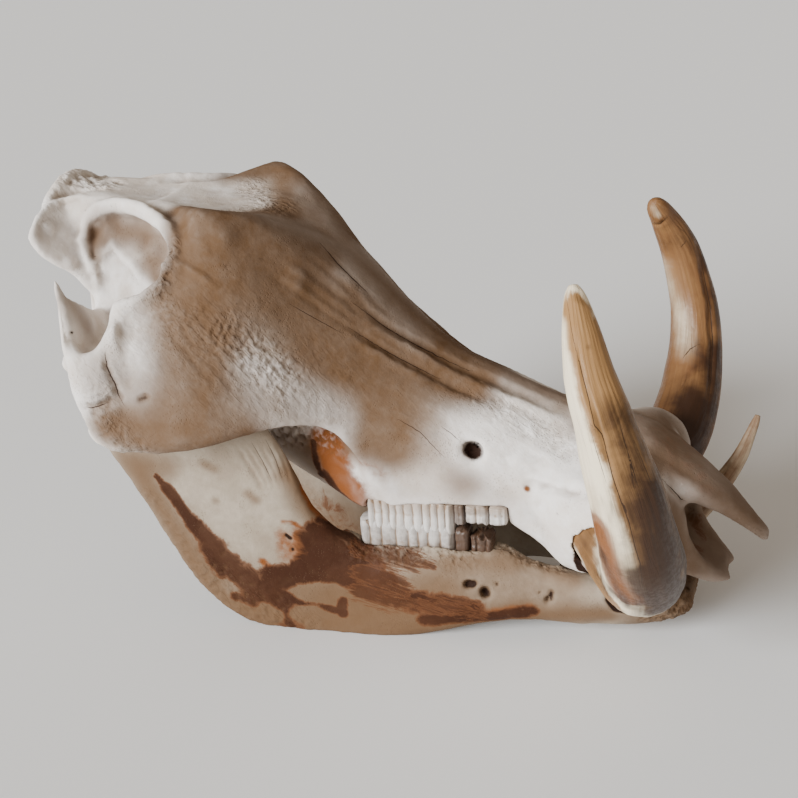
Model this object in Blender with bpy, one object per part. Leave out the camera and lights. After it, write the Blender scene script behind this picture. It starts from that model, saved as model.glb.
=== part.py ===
"""A warthog skull with its lower jaw, tusks and cheek teeth, resting on the jaw.

Lengths below are in millimetres. x runs from the back of the skull to the tip of the
nose, y is positive on the animal's left, and z is the height above the table. Stations
along x count from the back end of the molar rows, and the finished skull is moved so
that the middle of its own length stands over the origin.
"""
import math

import bmesh
import bpy
from mathutils import Vector

MM = 0.001
MIDDLE_STATION = 26.2
BONE_VOXEL = 2.2
SMOOTH_ROUNDS = 6
CRANIUM_TRIANGLES = 4700
JAW_TRIANGLES = 1750
FIT_GAP = 0.35

# Driving dimensions of the cranium
CHEEK_WALL = 9.0
GUM_LINE_UPPER = 75.0
BITE_LINE = 61.5
BITE_RISE = 0.11
GUM_DROP_LOWER = 9.5
TOOTH_ROW_Y = 37.0
TOOTH_WIDTH = 11.0
ROOT_DEPTH = 6.0
COLUMN_BULGE = 1.3
TOOTH_END_INSET = 2.0
ROOT_TAPER = 0.8
WORN_TAPER = 2.0
WORN_BEVEL = 1.6
TRENCH_REACH = 12.0

# Half sections of the face and forehead, from the middle of the roof round to the middle
# of the underside: roof, roof side, brow ridge, upper side, side, bulge, lower side,
# outer lower edge, inner lower edge, underside.
FACE_SECTIONS = [
    (-108, [(0, 240), (14, 241), (25, 241), (38, 226), (80, 204), (98, 184), (104, 155),
            (100, 128), (60, 128), (0, 128)]),
    (-92, [(0, 237), (17, 238), (30, 240), (48, 229), (76, 205), (97, 182), (105, 155),
           (103, 127), (60, 127), (0, 127)]),
    (-76, [(0, 234), (24, 237), (46, 245), (61, 231), (74, 210), (94, 184), (104, 155),
           (104, 128), (60, 128), (0, 128)]),
    (-62, [(0, 234), (28, 237), (55, 248), (66, 231), (75, 207), (91, 182), (102, 156),
           (102, 130), (60, 130), (0, 130)]),
    (-42, [(0, 232), (22, 235), (44, 241), (60, 223), (71, 199), (84, 173), (95, 150),
           (94, 134), (60, 133), (0, 133)]),
    (-20, [(0, 221), (19, 224), (37, 221), (51, 199), (62, 176), (73, 158), (81, 144),
           (78, 136), (50, 132), (0, 130)]),
    (2, [(0, 205), (13, 204), (25, 198), (40, 180), (51, 160), (58, 144), (61, 132),
         (56, 125), (30, 114), (0, 112)]),
    (26, [(0, 180), (12, 178), (23, 171), (35, 157), (44, 142), (49, 126), (48, 104),
          (45, 77), (27, 75), (0, 88)]),
    (53, [(0, 158), (9, 156), (18, 149), (30, 141), (38, 132), (44, 117), (44, 98),
          (43, 77), (27, 75), (0, 86)]),
    (80, [(0, 145), (8, 143), (14, 138), (26, 132), (36, 124), (43, 111), (42, 95),
          (41, 77), (26, 74), (0, 82)]),
    (105, [(0, 134), (9, 132), (15, 127), (26, 122), (36, 113), (42, 100), (41, 82),
           (34, 60), (22, 58), (0, 66)]),
    (122, [(0, 128), (10, 126), (18, 121), (30, 115), (44, 104), (53, 88), (52, 68),
           (40, 48), (24, 47), (0, 54)]),
    (145, [(0, 121), (10, 120), (19, 116), (36, 110), (54, 101), (62, 84), (59, 62),
           (44, 46), (26, 45), (0, 48)]),
    (163, [(0, 116), (11, 115), (20, 111), (36, 109), (53, 103), (58, 84), (52, 60),
           (38, 45), (24, 44), (0, 47)]),
    (178, [(0, 106), (12, 105), (20, 99), (28, 92), (38, 84), (42, 72), (40, 58),
           (30, 45), (20, 43), (0, 46)]),
]

# Half sections of the braincase, in the same order of points.
BRAINCASE_SECTIONS = [
    (-164, [(0, 247), (13, 245), (24, 239), (24, 230), (13, 212), (8, 190), (10, 165),
            (12, 140), (10, 128), (0, 128)]),
    (-156, [(0, 245), (13, 244), (25, 240), (29, 228), (23, 208), (17, 188), (18, 162),
            (20, 138), (14, 124), (0, 124)]),
    (-149, [(0, 244), (13, 244), (24, 241), (28, 228), (29, 207), (26, 188), (27, 160),
            (26, 134), (14, 121), (0, 121)]),
    (-142, [(0, 243), (12, 243), (22, 243), (27, 228), (34, 206), (38, 188), (38, 160),
            (30, 130), (15, 118), (0, 118)]),
    (-120, [(0, 239), (12, 240), (22, 241), (27, 226), (32, 206), (36, 186), (36, 156),
            (27, 122), (14, 110), (0, 110)]),
    (-95, [(0, 236), (14, 237), (24, 238), (28, 220), (34, 200), (37, 180), (35, 150),
           (26, 114), (13, 104), (0, 104)]),
    (-60, [(0, 228), (16, 228), (26, 226), (32, 208), (37, 190), (38, 170), (36, 140),
           (28, 106), (14, 100), (0, 102)]),
    (-30, [(0, 210), (16, 210), (26, 206), (32, 192), (38, 176), (40, 156), (38, 128),
           (34, 92), (22, 90), (0, 98)]),
    (-10, [(0, 195), (14, 195), (24, 190), (30, 178), (38, 164), (41, 146), (41, 120),
           (39, 84), (24, 82), (0, 92)]),
    (9, [(0, 180), (12, 180), (22, 174), (32, 164), (40, 152), (44, 136), (44, 110),
         (44, 76), (26, 75), (0, 89)]),
    (30, [(0, 170), (12, 168), (20, 162), (30, 152), (38, 142), (42, 130), (42, 106),
          (44, 77), (26, 75), (0, 88)]),
]


def place(x, y, z):
    """Turn a station, a side distance and a height in millimetres into scene metres."""
    return Vector((x - MIDDLE_STATION, y, z)) * MM


def clear_scene():
    for thing in list(bpy.data.objects):
        bpy.data.objects.remove(thing, do_unlink=True)


def smooth_path(points, steps):
    """Points on a smooth curve through the given ones, with steps on each span."""
    path = []
    for i in range(len(points) - 1):
        before = points[max(i - 1, 0)]
        here = points[i]
        after = points[i + 1]
        beyond = points[min(i + 2, len(points) - 1)]
        for k in range(steps):
            t = k / steps
            blend = (
                -0.5 * t + t * t - 0.5 * t ** 3,
                1 - 2.5 * t * t + 1.5 * t ** 3,
                0.5 * t + 2 * t * t - 1.5 * t ** 3,
                -0.5 * t * t + 0.5 * t ** 3,
            )
            path.append(tuple(
                blend[0] * a + blend[1] * b + blend[2] * c + blend[3] * d
                for a, b, c, d in zip(before, here, after, beyond)))
    path.append(tuple(points[-1]))
    return path


def loft(name, rings):
    """A closed solid whose skin is extruded from ring to ring and capped at both ends."""
    bm = bmesh.new()
    count = len(rings[0])
    verts = [bm.verts.new(p) for p in rings[0]]
    edges = [bm.edges.new((verts[i], verts[(i + 1) % count])) for i in range(count)]
    bm.faces.new(verts)
    for ring in rings[1:]:
        made = bmesh.ops.extrude_edge_only(bm, edges=edges)["geom"]
        fresh = {v for v in made if isinstance(v, bmesh.types.BMVert)}
        next_verts = []
        for vert, point in zip(verts, ring):
            twin = next(e.other_vert(vert) for e in vert.link_edges
                        if e.other_vert(vert) in fresh)
            twin.co = point
            next_verts.append(twin)
        verts = next_verts
        edges = [e for e in made if isinstance(e, bmesh.types.BMEdge)
                 and e.verts[0] in fresh and e.verts[1] in fresh]
    bm.faces.new(verts)
    bmesh.ops.recalc_face_normals(bm, faces=bm.faces)
    return finish_mesh(name, bm)


def finish_mesh(name, bm):
    mesh = bpy.data.meshes.new(name)
    bm.to_mesh(mesh)
    bm.free()
    thing = bpy.data.objects.new(name, mesh)
    bpy.context.scene.collection.objects.link(thing)
    return thing


def sections_body(name, sections, along=4, around=3):
    """A loft through half sections, each closed by its mirror image across the middle."""
    flat_rows = [(x,) + tuple(v for point in half for v in point) for x, half in sections]
    rings = []
    for row in smooth_path(flat_rows, along):
        x = row[0]
        half = list(zip(row[1::2], row[2::2]))
        half = smooth_path(half, around)
        left = [place(x, y, z) for y, z in half]
        right = [place(x, -y, z) for y, z in reversed(half[1:-1])]
        rings.append(left + right)
    return loft(name, rings)


def blade(name, top_edge, low_edge, thickness, squareness=2.6, sides=16, along=3):
    """A plate between two edges, with rounded borders and its own thickness in places."""
    rows = [tuple(a) + tuple(b) + (t,) for a, b, t in zip(top_edge, low_edge, thickness)]
    rows = smooth_path(rows, along)
    middles = [(Vector(r[0:3]) + Vector(r[3:6])) / 2 for r in rows]
    rings = []
    for i, row in enumerate(rows):
        chord = (Vector(row[0:3]) - Vector(row[3:6])) / 2
        forward = middles[min(i + 1, len(rows) - 1)] - middles[max(i - 1, 0)]
        normal = chord.cross(forward).normalized() * row[6] / 2
        ring = []
        for k in range(sides):
            angle = 2 * math.pi * k / sides
            c, s = math.cos(angle), math.sin(angle)
            reach = math.copysign(abs(c) ** (2 / squareness), c)
            out = math.copysign(abs(s) ** (2 / squareness), s)
            ring.append(place(*(middles[i] + chord * reach + normal * out)))
        rings.append(ring)
    return loft(name, rings)


def tube(name, points, radii, sides=12, along=4, flat=1.0, grow=0.0):
    """A tapering rod along a smooth path, with flat giving its width over its depth."""
    rows = smooth_path([tuple(p) + (r,) for p, r in zip(points, radii)], along)
    rings = []
    side = Vector((1, 0, 0))
    for i, row in enumerate(rows):
        forward = Vector(rows[min(i + 1, len(rows) - 1)][0:3]) - Vector(rows[max(i - 1, 0)][0:3])
        forward.normalize()
        side = (side - forward * side.dot(forward)).normalized()
        up = forward.cross(side)
        radius = row[3] + grow
        ring = []
        for k in range(sides):
            angle = 2 * math.pi * k / sides
            offset = side * math.cos(angle) * radius + up * math.sin(angle) * radius * flat
            ring.append(place(*(Vector(row[0:3]) + offset)))
        rings.append(ring)
    return loft(name, rings)


def ball(name, centre, radii, turn=None, detail=3):
    """A stretched ball; turn is a rotation matrix."""
    bm = bmesh.new()
    bmesh.ops.create_icosphere(bm, subdivisions=detail, radius=MM)
    bmesh.ops.scale(bm, vec=Vector(radii), verts=bm.verts)
    if turn is not None:
        bmesh.ops.transform(bm, matrix=turn, verts=bm.verts)
    bmesh.ops.translate(bm, vec=place(*centre), verts=bm.verts)
    return finish_mesh(name, bm)


def mirrored(thing, name):
    """The same shape on the other side of the skull."""
    bm = bmesh.new()
    bm.from_mesh(thing.data)
    bmesh.ops.scale(bm, vec=Vector((1, -1, 1)), verts=bm.verts)
    bmesh.ops.reverse_faces(bm, faces=bm.faces)
    return finish_mesh(name, bm)


def both_sides(thing):
    return [thing, mirrored(thing, thing.name + " left")]


def bake(thing):
    """Replace an object's mesh with what its modifiers make of it."""
    shaped = thing.evaluated_get(bpy.context.evaluated_depsgraph_get())
    mesh = bpy.data.meshes.new_from_object(shaped)
    thing.modifiers.clear()
    thing.data = mesh


def carve(thing, cutters):
    """Cut shapes out of a solid and throw the cutters away."""
    for cutter in cutters:
        cut = thing.modifiers.new("cut", "BOOLEAN")
        cut.operation = "DIFFERENCE"
        cut.solver = "EXACT"
        cut.object = cutter
    bpy.context.view_layer.update()
    bake(thing)
    for cutter in cutters:
        bpy.data.objects.remove(cutter, do_unlink=True)


def fuse(name, masses, hollows, triangles):
    """Grow overlapping masses into one hollowed bone with a chosen number of triangles."""
    bm = bmesh.new()
    for mass in masses:
        bm.from_mesh(mass.data)
        bpy.data.objects.remove(mass, do_unlink=True)
    bone = finish_mesh(name, bm)
    remesh = bone.modifiers.new("grow together", "REMESH")
    remesh.mode = "VOXEL"
    remesh.voxel_size = BONE_VOXEL * MM
    carve(bone, hollows)
    soften = bone.modifiers.new("soften", "SMOOTH")
    soften.factor = 0.5
    soften.iterations = SMOOTH_ROUNDS
    bpy.context.view_layer.update()
    bake(bone)
    thin = bone.modifiers.new("fewer faces", "DECIMATE")
    thin.ratio = triangles / sum(len(p.vertices) - 2 for p in bone.data.polygons)
    thin.use_collapse_triangulate = True
    bpy.context.view_layer.update()
    bake(bone)
    return bone


def cheek_hollow():
    """The space inside the cheek plate that the jaw's branch and its muscle stood in."""
    wall = CHEEK_WALL
    rows = [
        (-122, [(43, 100), (43, 200), (64, 200), (88, 178), (105 - wall, 152), (104 - wall, 100)]),
        (-92, [(43, 100), (43, 200), (62, 198), (86, 177), (105 - wall, 152), (103 - wall, 100)]),
        (-60, [(44, 100), (44, 185), (60, 186), (82, 167), (101 - wall, 148), (101 - wall, 100)]),
        (-38, [(47, 100), (47, 160), (58, 166), (73, 155), (92 - wall, 142), (92 - wall, 100)]),
        (-16, [(51, 100), (51, 136), (55, 142), (64, 140), (79 - wall, 134), (79 - wall, 100)]),
    ]
    rings = [[place(x, -y, z) for y, z in ring] for x, ring in rows]
    return loft("cheek hollow", rings)


# The ridge round the eye socket, open at the back where it meets the temple wall
ORBIT_RIM = [(-140, -36, 206), (-146, -31, 219), (-146, -28, 228), (-139, -26, 235),
             (-129, -25, 238.5), (-117, -28, 239), (-104, -34, 237.5), (-91, -45, 235),
             (-81, -55, 230.5), (-77, -62, 226), (-77, -68, 220), (-81, -74, 213),
             (-88, -79, 206), (-106, -84, 201)]
ORBIT_RIM_RADII = (3, 4, 4.5, 5, 5, 5, 5, 5, 5, 4.8, 4.5, 4.2, 4, 4)
ORBIT_BACK = [(-124, -78, 197), (-136, -56, 199)]
ORBIT_OUTWARD = Vector((-0.457, -0.58, 0.675))


def orbit_cut():
    """The eye socket: a bowl that follows the ridge and narrows as it goes in."""
    outline = [Vector(p) for p in smooth_path(ORBIT_RIM + ORBIT_BACK, 2)]
    centre = sum(outline, Vector()) / len(outline)
    rings = []
    for reach, width in ((24, 1.3), (0, 0.94), (-14, 0.86), (-26, 0.6), (-33, 0.3)):
        rings.append([place(*(centre + (p - centre) * width + ORBIT_OUTWARD * reach))
                      for p in outline])
    return loft("orbit cut", rings)


def face():
    body = sections_body("face", FACE_SECTIONS)
    cutters = both_sides(cheek_hollow()) + both_sides(orbit_cut())
    carve(body, cutters)
    return body


def crest_wing():
    """One wing of the crest at the back, with the hollow of the temple in front of it."""
    rim = [(-169, -55, 226), (-170, -51, 231), (-169, -42, 235), (-168, -28, 239), (-166, -8, 246)]
    low = [(-165, -53, 217), (-157, -49, 208), (-149, -44, 202), (-142, -38, 191),
           (-140, -30, 184)]
    return blade("crest wing", rim, low, (7, 8, 9, 10, 12))


def crest_arch():
    side = [(-168, 54, 226), (-168, 44, 233), (-169, 31, 236.5), (-171, 18, 243)]
    points = [(x, -y, z) for x, y, z in side] + [(-171, 0, 248)] + side[::-1]
    return tube("crest arch", points, (3.5, 4.5, 5, 5, 4.5, 5, 5, 4.5, 3.5), sides=10)


def orbit_ridge():
    return tube("orbit ridge", ORBIT_RIM, ORBIT_RIM_RADII, sides=10)


def temple_wall():
    """The bone behind the jaw hinge, rising to a spike at its outer end."""
    top = [(-130, -98, 228), (-129, -93, 211), (-131, -78, 201), (-137, -60, 191),
           (-141, -44, 185), (-140, -30, 182)]
    low = [(-122, -104, 150), (-122, -96, 164), (-124, -80, 166), (-128, -60, 166),
           (-134, -40, 150), (-134, -28, 146)]
    return blade("temple wall", top, low, (5, 7, 8, 9, 12, 14))


def arch_rear():
    """The outer bar that joins the spike to the cheek plate."""
    top = [(-130, -99, 225), (-125, -103, 192), (-116, -103, 182), (-109, -100, 186),
           (-100, -92, 200)]
    low = [(-123, -103, 150), (-119, -104, 143), (-115, -104, 134), (-108, -104, 127),
           (-98, -104, 127)]
    return blade("arch rear", top, low, (7, 9, 12, 13, 13))


def hinge_shelf():
    """The thick bone over the jaw hinge."""
    return ball("hinge shelf", (-127, -76, 172), (13, 27, 8), detail=2)


def cheek_knobs():
    """Two swellings one over the other at the back of the cheek, with a notch between."""
    return [ball("upper knob", (-116, -101, 163), (10, 6, 12), detail=2),
            ball("lower knob", (-112, -99, 137), (11.5, 6, 10.5), detail=2)]


def ear_bulb():
    return ball("ear bulb", (-116, -23, 106), (17, 9, 14), detail=2)


def occiput():
    """The round knobs that met the neck and the two long prongs beside them."""
    knob = ball("neck knob", (-160, -15, 130), (11, 11, 14), detail=2)
    prong = tube("prong", [(-138, -34, 160), (-138, -37, 130), (-135, -38, 98)], (9, 7, 3.5))
    return both_sides(knob) + both_sides(prong)


def nasal_spike():
    """The roof of the nose, drawn out to a thin point."""
    sections = [
        (140, [(0, 118), (10, 117), (18, 113), (25, 106), (20, 100), (0, 102)]),
        (165, [(0, 114), (11, 113), (20, 108), (25, 100), (19, 92), (0, 96)]),
        (185, [(0, 101), (10, 100), (18, 95), (22, 88), (17, 82), (0, 87)]),
        (200, [(0, 89), (8, 88), (13, 84), (15, 79), (12, 74), (0, 78)]),
        (213, [(0, 76), (6, 75), (9, 72), (10, 68), (8, 64), (0, 66)]),
        (222, [(0, 66), (4, 65), (6, 62), (6, 59), (5, 56), (0, 57)]),
        (228, [(0, 60), (3, 59), (4, 57), (4, 54), (3, 52), (0, 52)]),
    ]
    return sections_body("nasal spike", sections)


def front_bone():
    """The bone under the nose opening, with a raised rim on each side."""
    rim = [(165, -27, 100), (178, -24, 94), (184, -22, 80), (186, -21, 65), (193, -19, 51),
           (201, -15, 42), (208, -9, 37)]
    low = [(165, -28, 46), (178, -25, 43), (184, -22, 40), (188, -19, 37), (194, -16, 34),
           (201, -12, 32), (207, -7, 31)]
    wall = blade("front wall", rim, low, (10, 9, 8, 8, 8, 8, 7))
    floor = sections_body("front floor", [
        (150, [(0, 56), (20, 56), (30, 54), (30, 46), (20, 43), (0, 44)]),
        (180, [(0, 54), (14, 54), (22, 52), (23, 44), (16, 40), (0, 41)]),
        (196, [(0, 44), (10, 44), (15, 42), (15, 36), (10, 33), (0, 34)]),
        (206, [(0, 38), (5, 38), (8, 36), (8, 33), (5, 31), (0, 31)]),
    ])
    return both_sides(wall) + [floor]


def socket_flange():
    """The flaring lip of bone over and in front of a tusk's root."""
    points = [(146, -45, 102), (159, -47, 100), (168, -49, 93), (171, -50, 82), (168, -49, 70)]
    return tube("socket flange", points, (6, 7.5, 8, 8, 6), sides=10)


def nose_opening():
    """The hollow of the nose, running back between the roof and the front bone."""
    rows = []
    for x, half_width, low, high in ((120, 6, 84, 96), (150, 12, 66, 92), (175, 15, 58, 84),
                                     (192, 14, 52, 78), (214, 15, 36, 62), (236, 15, 12, 46)):
        ring = []
        for k in range(16):
            angle = 2 * math.pi * k / 16
            ring.append(place(x, half_width * math.cos(angle),
                              (low + high) / 2 + (high - low) / 2 * math.sin(angle)))
        rows.append(ring)
    return loft("nose opening", rows)


# The right tusk is stouter than the left and reaches higher
UPPER_TUSKS = {
    "right": (
        [(138, -42, 74), (151, -55, 69), (163, -68, 66), (170.5, -82, 71), (173.5, -98, 86),
         (174, -112, 101), (173, -122, 118), (170.5, -129.6, 138), (166, -131.8, 155),
         (160, -131.6, 176), (153.5, -127, 194), (148, -118, 212), (144, -110.5, 226),
         (142.5, -107.5, 231)],
        (14, 17, 19.5, 21, 21, 20, 18.8, 17.6, 16.2, 13.9, 11.8, 8.8, 5.2, 2.2)),
    "left": (
        [(138, -42, 75), (149, -55, 71), (160, -68, 70), (166.5, -82, 76), (170.5, -98, 89),
         (172, -112, 103), (172, -124, 119), (170, -132, 138), (166, -134.7, 155),
         (160, -134.5, 176), (153, -128, 194), (148, -117, 207), (146.5, -114, 211)],
        (14, 17, 19, 19.6, 18.8, 17.6, 16, 14.5, 13.2, 11.6, 9, 5.8, 2.4)),
}
SOCKET_POINTS = 5
TUSK_SOCKET_GROW = 1.3


def on_own_side(thing, row_side, name):
    """A shape drawn on the right stays there, or gives way to its mirror image."""
    if row_side == "right":
        return thing
    turned = mirrored(thing, name)
    bpy.data.objects.remove(thing, do_unlink=True)
    turned.name = name
    return turned


def upper_tusk(name, row_side, grow=0.0, points=None):
    path, radii = UPPER_TUSKS[row_side]
    tusk = tube(name, path[:points], radii[:points], sides=12, along=2, grow=grow)
    return on_own_side(tusk, row_side, name)


# Cheek teeth: name, back end, front end, columns, height of the worn face over the bite line
UPPER_TEETH = (("third_molar", 11.0, 61.2, 6, 0.0), ("second_molar", 61.9, 67.4, 1, 0.8),
               ("first_molar", 68.2, 80.6, 2, 1.6), ("premolar", 81.4, 91.0, 1, 0.8))
LOWER_TEETH = (("third_molar", 6.0, 60.8, 7, 0.0), ("second_molar", 61.5, 69.6, 1, 1.6),
               ("first_molar", 70.6, 82.5, 2, 5.4))
CHEEK_NERVE_HOLE = ((74, -43, 114), (5.2, 6, 4.6))
JAW_NERVE_HOLES = (((70, -50, 35), (2.8, 6, 2.4)), ((79.5, -50, 31), (3.4, 6, 3.2)),
                   ((113, -42, 28), (2.6, 5, 3.2)))


def bite_height(x):
    """Height of the line where the upper and lower teeth meet, which rises to the front."""
    return BITE_LINE + BITE_RISE * (x - UPPER_TEETH[0][1])


def tooth_outline(spec, width, height, side):
    """A ring round a tooth, bulging once on each side for every column."""
    back, front, columns = spec[1:4]
    steps = columns * 2 + 1
    outer = []
    for k in range(steps):
        t = k / (steps - 1)
        swell = COLUMN_BULGE * abs(math.sin(math.pi * columns * t))
        inset = TOOTH_END_INSET if k in (0, steps - 1) else 0.0
        outer.append((back + (front - back) * t, width / 2 + swell - inset))
    ring = [place(x, side * (TOOTH_ROW_Y + w), height(x)) for x, w in outer]
    ring += [place(x, side * (TOOTH_ROW_Y - w), height(x)) for x, w in reversed(outer)]
    return ring


def cheek_tooth(jaw, row_side, spec):
    """One tooth, from its root end to its worn face."""
    worn = spec[4]
    away = 1 if jaw == "upper" else -1

    def root(x):
        if jaw == "upper":
            return GUM_LINE_UPPER + ROOT_DEPTH - FIT_GAP
        return bite_height(x) - GUM_DROP_LOWER - ROOT_DEPTH + FIT_GAP

    def shoulder(x):
        return bite_height(x) + away * (WORN_BEVEL + worn)

    def worn_face(x):
        return bite_height(x) + away * (FIT_GAP / 2 + worn)

    side = 1 if row_side == "left" else -1
    profile = ((TOOTH_WIDTH - ROOT_TAPER, root), (TOOTH_WIDTH, shoulder),
               (TOOTH_WIDTH - WORN_TAPER, worn_face))
    rings = [tooth_outline(spec, width, height, side) for width, height in profile]
    return loft("_".join((jaw, row_side, spec[0])), rings)


def tooth_trench(jaw, side):
    """The slot that a row of cheek teeth stands in."""
    teeth = UPPER_TEETH if jaw == "upper" else LOWER_TEETH
    back = teeth[0][1] - FIT_GAP
    front = teeth[-1][2] + FIT_GAP
    half = TOOTH_WIDTH / 2 + COLUMN_BULGE + FIT_GAP
    corners = ((back, -half), (front, -half), (front, half), (back, half))
    rings = []
    for deep in (True, False):
        ring = []
        for x, w in corners:
            if jaw == "upper":
                z = GUM_LINE_UPPER + (ROOT_DEPTH if deep else -TRENCH_REACH)
            else:
                z = bite_height(x) - GUM_DROP_LOWER + (-ROOT_DEPTH if deep else TRENCH_REACH)
            ring.append(place(x, side * (TOOTH_ROW_Y + w), z))
        rings.append(ring)
    return loft("tooth trench", rings)


def nerve_hole(spec, side):
    (x, y, z), radii = spec
    return ball("nerve hole", (x, -side * y, z), radii, detail=2)


def neck_hole():
    return ball("neck hole", (-168, 0, 141), (24, 10, 10), detail=2)


def cranium():
    masses = [face(), sections_body("braincase", BRAINCASE_SECTIONS), crest_arch(),
              nasal_spike()]
    pieces = [crest_wing(), orbit_ridge(), temple_wall(), arch_rear(), hinge_shelf(),
              ear_bulb(), socket_flange()] + cheek_knobs()
    for piece in pieces:
        masses += both_sides(piece)
    masses += occiput() + front_bone()
    hollows = [nose_opening(), neck_hole()]
    hollows += [nerve_hole(CHEEK_NERVE_HOLE, side) for side in (-1, 1)]
    bone = fuse("cranium", masses, hollows, CRANIUM_TRIANGLES)
    cutters = []
    for row_side, side in (("right", -1), ("left", 1)):
        cutters.append(upper_tusk("socket", row_side, TUSK_SOCKET_GROW, SOCKET_POINTS))
        cutters.append(tooth_trench("upper", side))
    carve(bone, cutters)
    return bone


JAW_TOP_EDGE = [(-125, -74, 151), (-108, -73, 150), (-84, -70, 148), (-58, -66, 144),
                (-36, -62, 130), (-25, -59, 108), (-19, -54, 86), (-11, -50, 69), (6, -45, 54),
                (30, -42, 53), (58, -39, 54), (84, -36, 53), (104, -36, 46), (122, -37, 42),
                (134, -38, 41)]
JAW_LOW_EDGE = [(-140, -68, 133), (-131, -67, 110), (-119, -66, 88), (-105.5, -64, 59),
                (-91, -62, 30), (-71, -58, 6), (-44, -55, -4), (-14, -52, -9), (14, -49, -7),
                (38, -46, -2), (62, -43, 5), (86, -39, 10), (104, -35, 11), (120, -31, 10),
                (134, -28, 9)]
JAW_THICKNESS = (12, 10, 10, 10, 11, 12, 13, 15, 19, 22, 23, 22, 20, 19, 19)


def jaw_branch():
    return blade("jaw branch", JAW_TOP_EDGE, JAW_LOW_EDGE, JAW_THICKNESS, squareness=2.8)


def jaw_front():
    """The solid front of the jaw, where its two branches meet, hollowed like a spout."""
    sections = [
        (110, [(0, 26), (14, 27), (24, 36), (33, 44), (42, 42), (44, 33), (37, 22), (23, 14),
               (10, 11), (0, 11)]),
        (130, [(0, 26), (14, 28), (24, 36), (34, 42), (44, 41), (46, 31), (38, 15), (23, 7),
               (10, 3), (0, 3)]),
        (150, [(0, 27), (12, 29), (22, 35), (32, 41), (43, 39), (45, 29), (36, 13), (22, 6),
               (10, 1), (0, 0)]),
        (166, [(0, 27), (10, 28), (18, 32), (28, 38), (38, 36), (40, 26), (31, 13), (18, 7),
               (8, 4), (0, 3)]),
        (179, [(0, 24), (8, 25), (14, 27), (20, 31), (28, 31), (31, 23), (24, 13), (14, 9),
               (7, 7), (0, 7)]),
        (188, [(0, 20), (5, 21), (9, 22), (13, 24), (18, 24), (20, 19), (16, 14), (10, 12),
               (5, 11), (0, 11)]),
    ]
    return sections_body("jaw front", sections)


def jaw_hinge():
    return ball("jaw hinge", (-121, -73, 150), (9, 16, 8), detail=2)


def tooth_ledge():
    """The squared upper border of the jaw that holds the cheek teeth."""
    top = [(-4, -40, 59), (8, -38, 52), (30, -37, 54), (60, -37, 56), (84, -36, 55),
           (96, -36, 50)]
    low = [(-6, -46, 40), (8, -43, 34), (30, -41, 32), (60, -39, 32), (84, -37, 34), (96, -36, 34)]
    return blade("tooth ledge", top, low, (10, 19, 20, 19, 17, 12), squareness=6.0)


LOWER_TUSK_PATH = [(146, -28, 22), (158, -31, 25), (170, -35, 31), (182, -40, 44),
                   (195.5, -47, 61), (206, -54, 77.5), (212.5, -62, 93), (214.5, -65.5, 99)]
LOWER_TUSK_RADII = (6, 7, 7.2, 6.6, 5.8, 4.5, 2.8, 1.4)
BROKEN_END = (178, -38, 38.5)
BROKEN_RADIUS = 6.2


def lower_tusk(name, row_side, grow=0.0, broken=False):
    path = list(LOWER_TUSK_PATH)
    radii = list(LOWER_TUSK_RADII)
    if broken:
        path = path[:3] + [BROKEN_END]
        radii = radii[:3] + [BROKEN_RADIUS]
    tusk = tube(name, path, radii, sides=8, along=2, grow=grow)
    return on_own_side(tusk, row_side, name)


def floor_cut():
    """A block below the table's height, which leaves flat rests on the jaw."""
    bm = bmesh.new()
    bmesh.ops.create_cube(bm, size=1.0)
    bmesh.ops.scale(bm, vec=Vector((0.6, 0.3, 0.04)), verts=bm.verts)
    bmesh.ops.translate(bm, vec=Vector((0, 0, -0.02)), verts=bm.verts)
    return finish_mesh("floor cut", bm)


def mandible():
    masses = both_sides(jaw_branch()) + both_sides(jaw_hinge()) + both_sides(tooth_ledge())
    masses.append(jaw_front())
    hollows = [nerve_hole(spec, side) for spec in JAW_NERVE_HOLES for side in (-1, 1)]
    bone = fuse("mandible", masses, hollows, JAW_TRIANGLES)
    cutters = [floor_cut()]
    for row_side, side in (("right", -1), ("left", 1)):
        cutters.append(lower_tusk("socket", row_side, grow=FIT_GAP))
        cutters.append(tooth_trench("lower", side))
    carve(bone, cutters)
    return bone


BONE = ((0.80, 0.74, 0.64), 0.62)
JAW_BONE = ((0.76, 0.69, 0.58), 0.58)
IVORY = ((0.72, 0.58, 0.38), 0.38)
LOWER_IVORY = ((0.42, 0.27, 0.15), 0.45)
TOOTH = ((0.82, 0.79, 0.72), 0.42)


def paint(thing, name, look):
    """Give a sub-part its own plain material."""
    colour, roughness = look
    material = bpy.data.materials.new(name)
    material.use_nodes = True
    shader = material.node_tree.nodes["Principled BSDF"]
    shader.inputs["Base Color"].default_value = (*colour, 1.0)
    shader.inputs["Roughness"].default_value = roughness
    shader.inputs["Metallic"].default_value = 0.0
    thing.data.materials.clear()
    thing.data.materials.append(material)
    thing.data.shade_smooth()
    thing.data.set_sharp_from_angle(angle=math.radians(50))


def build_all():
    paint(cranium(), "cranium bone", BONE)
    paint(mandible(), "jaw bone", JAW_BONE)
    for row_side in ("right", "left"):
        tusk = upper_tusk("upper_tusk_" + row_side, row_side)
        paint(tusk, "tusk ivory " + row_side, IVORY)
        tusk = lower_tusk("lower_tusk_" + row_side, row_side, broken=row_side == "right")
        paint(tusk, "lower tusk ivory " + row_side, LOWER_IVORY)
        for jaw, teeth in (("upper", UPPER_TEETH), ("lower", LOWER_TEETH)):
            for spec in teeth:
                tooth = cheek_tooth(jaw, row_side, spec)
                paint(tooth, tooth.name + " enamel", TOOTH)


if __name__ == "__main__":
    clear_scene()
    build_all()
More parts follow.
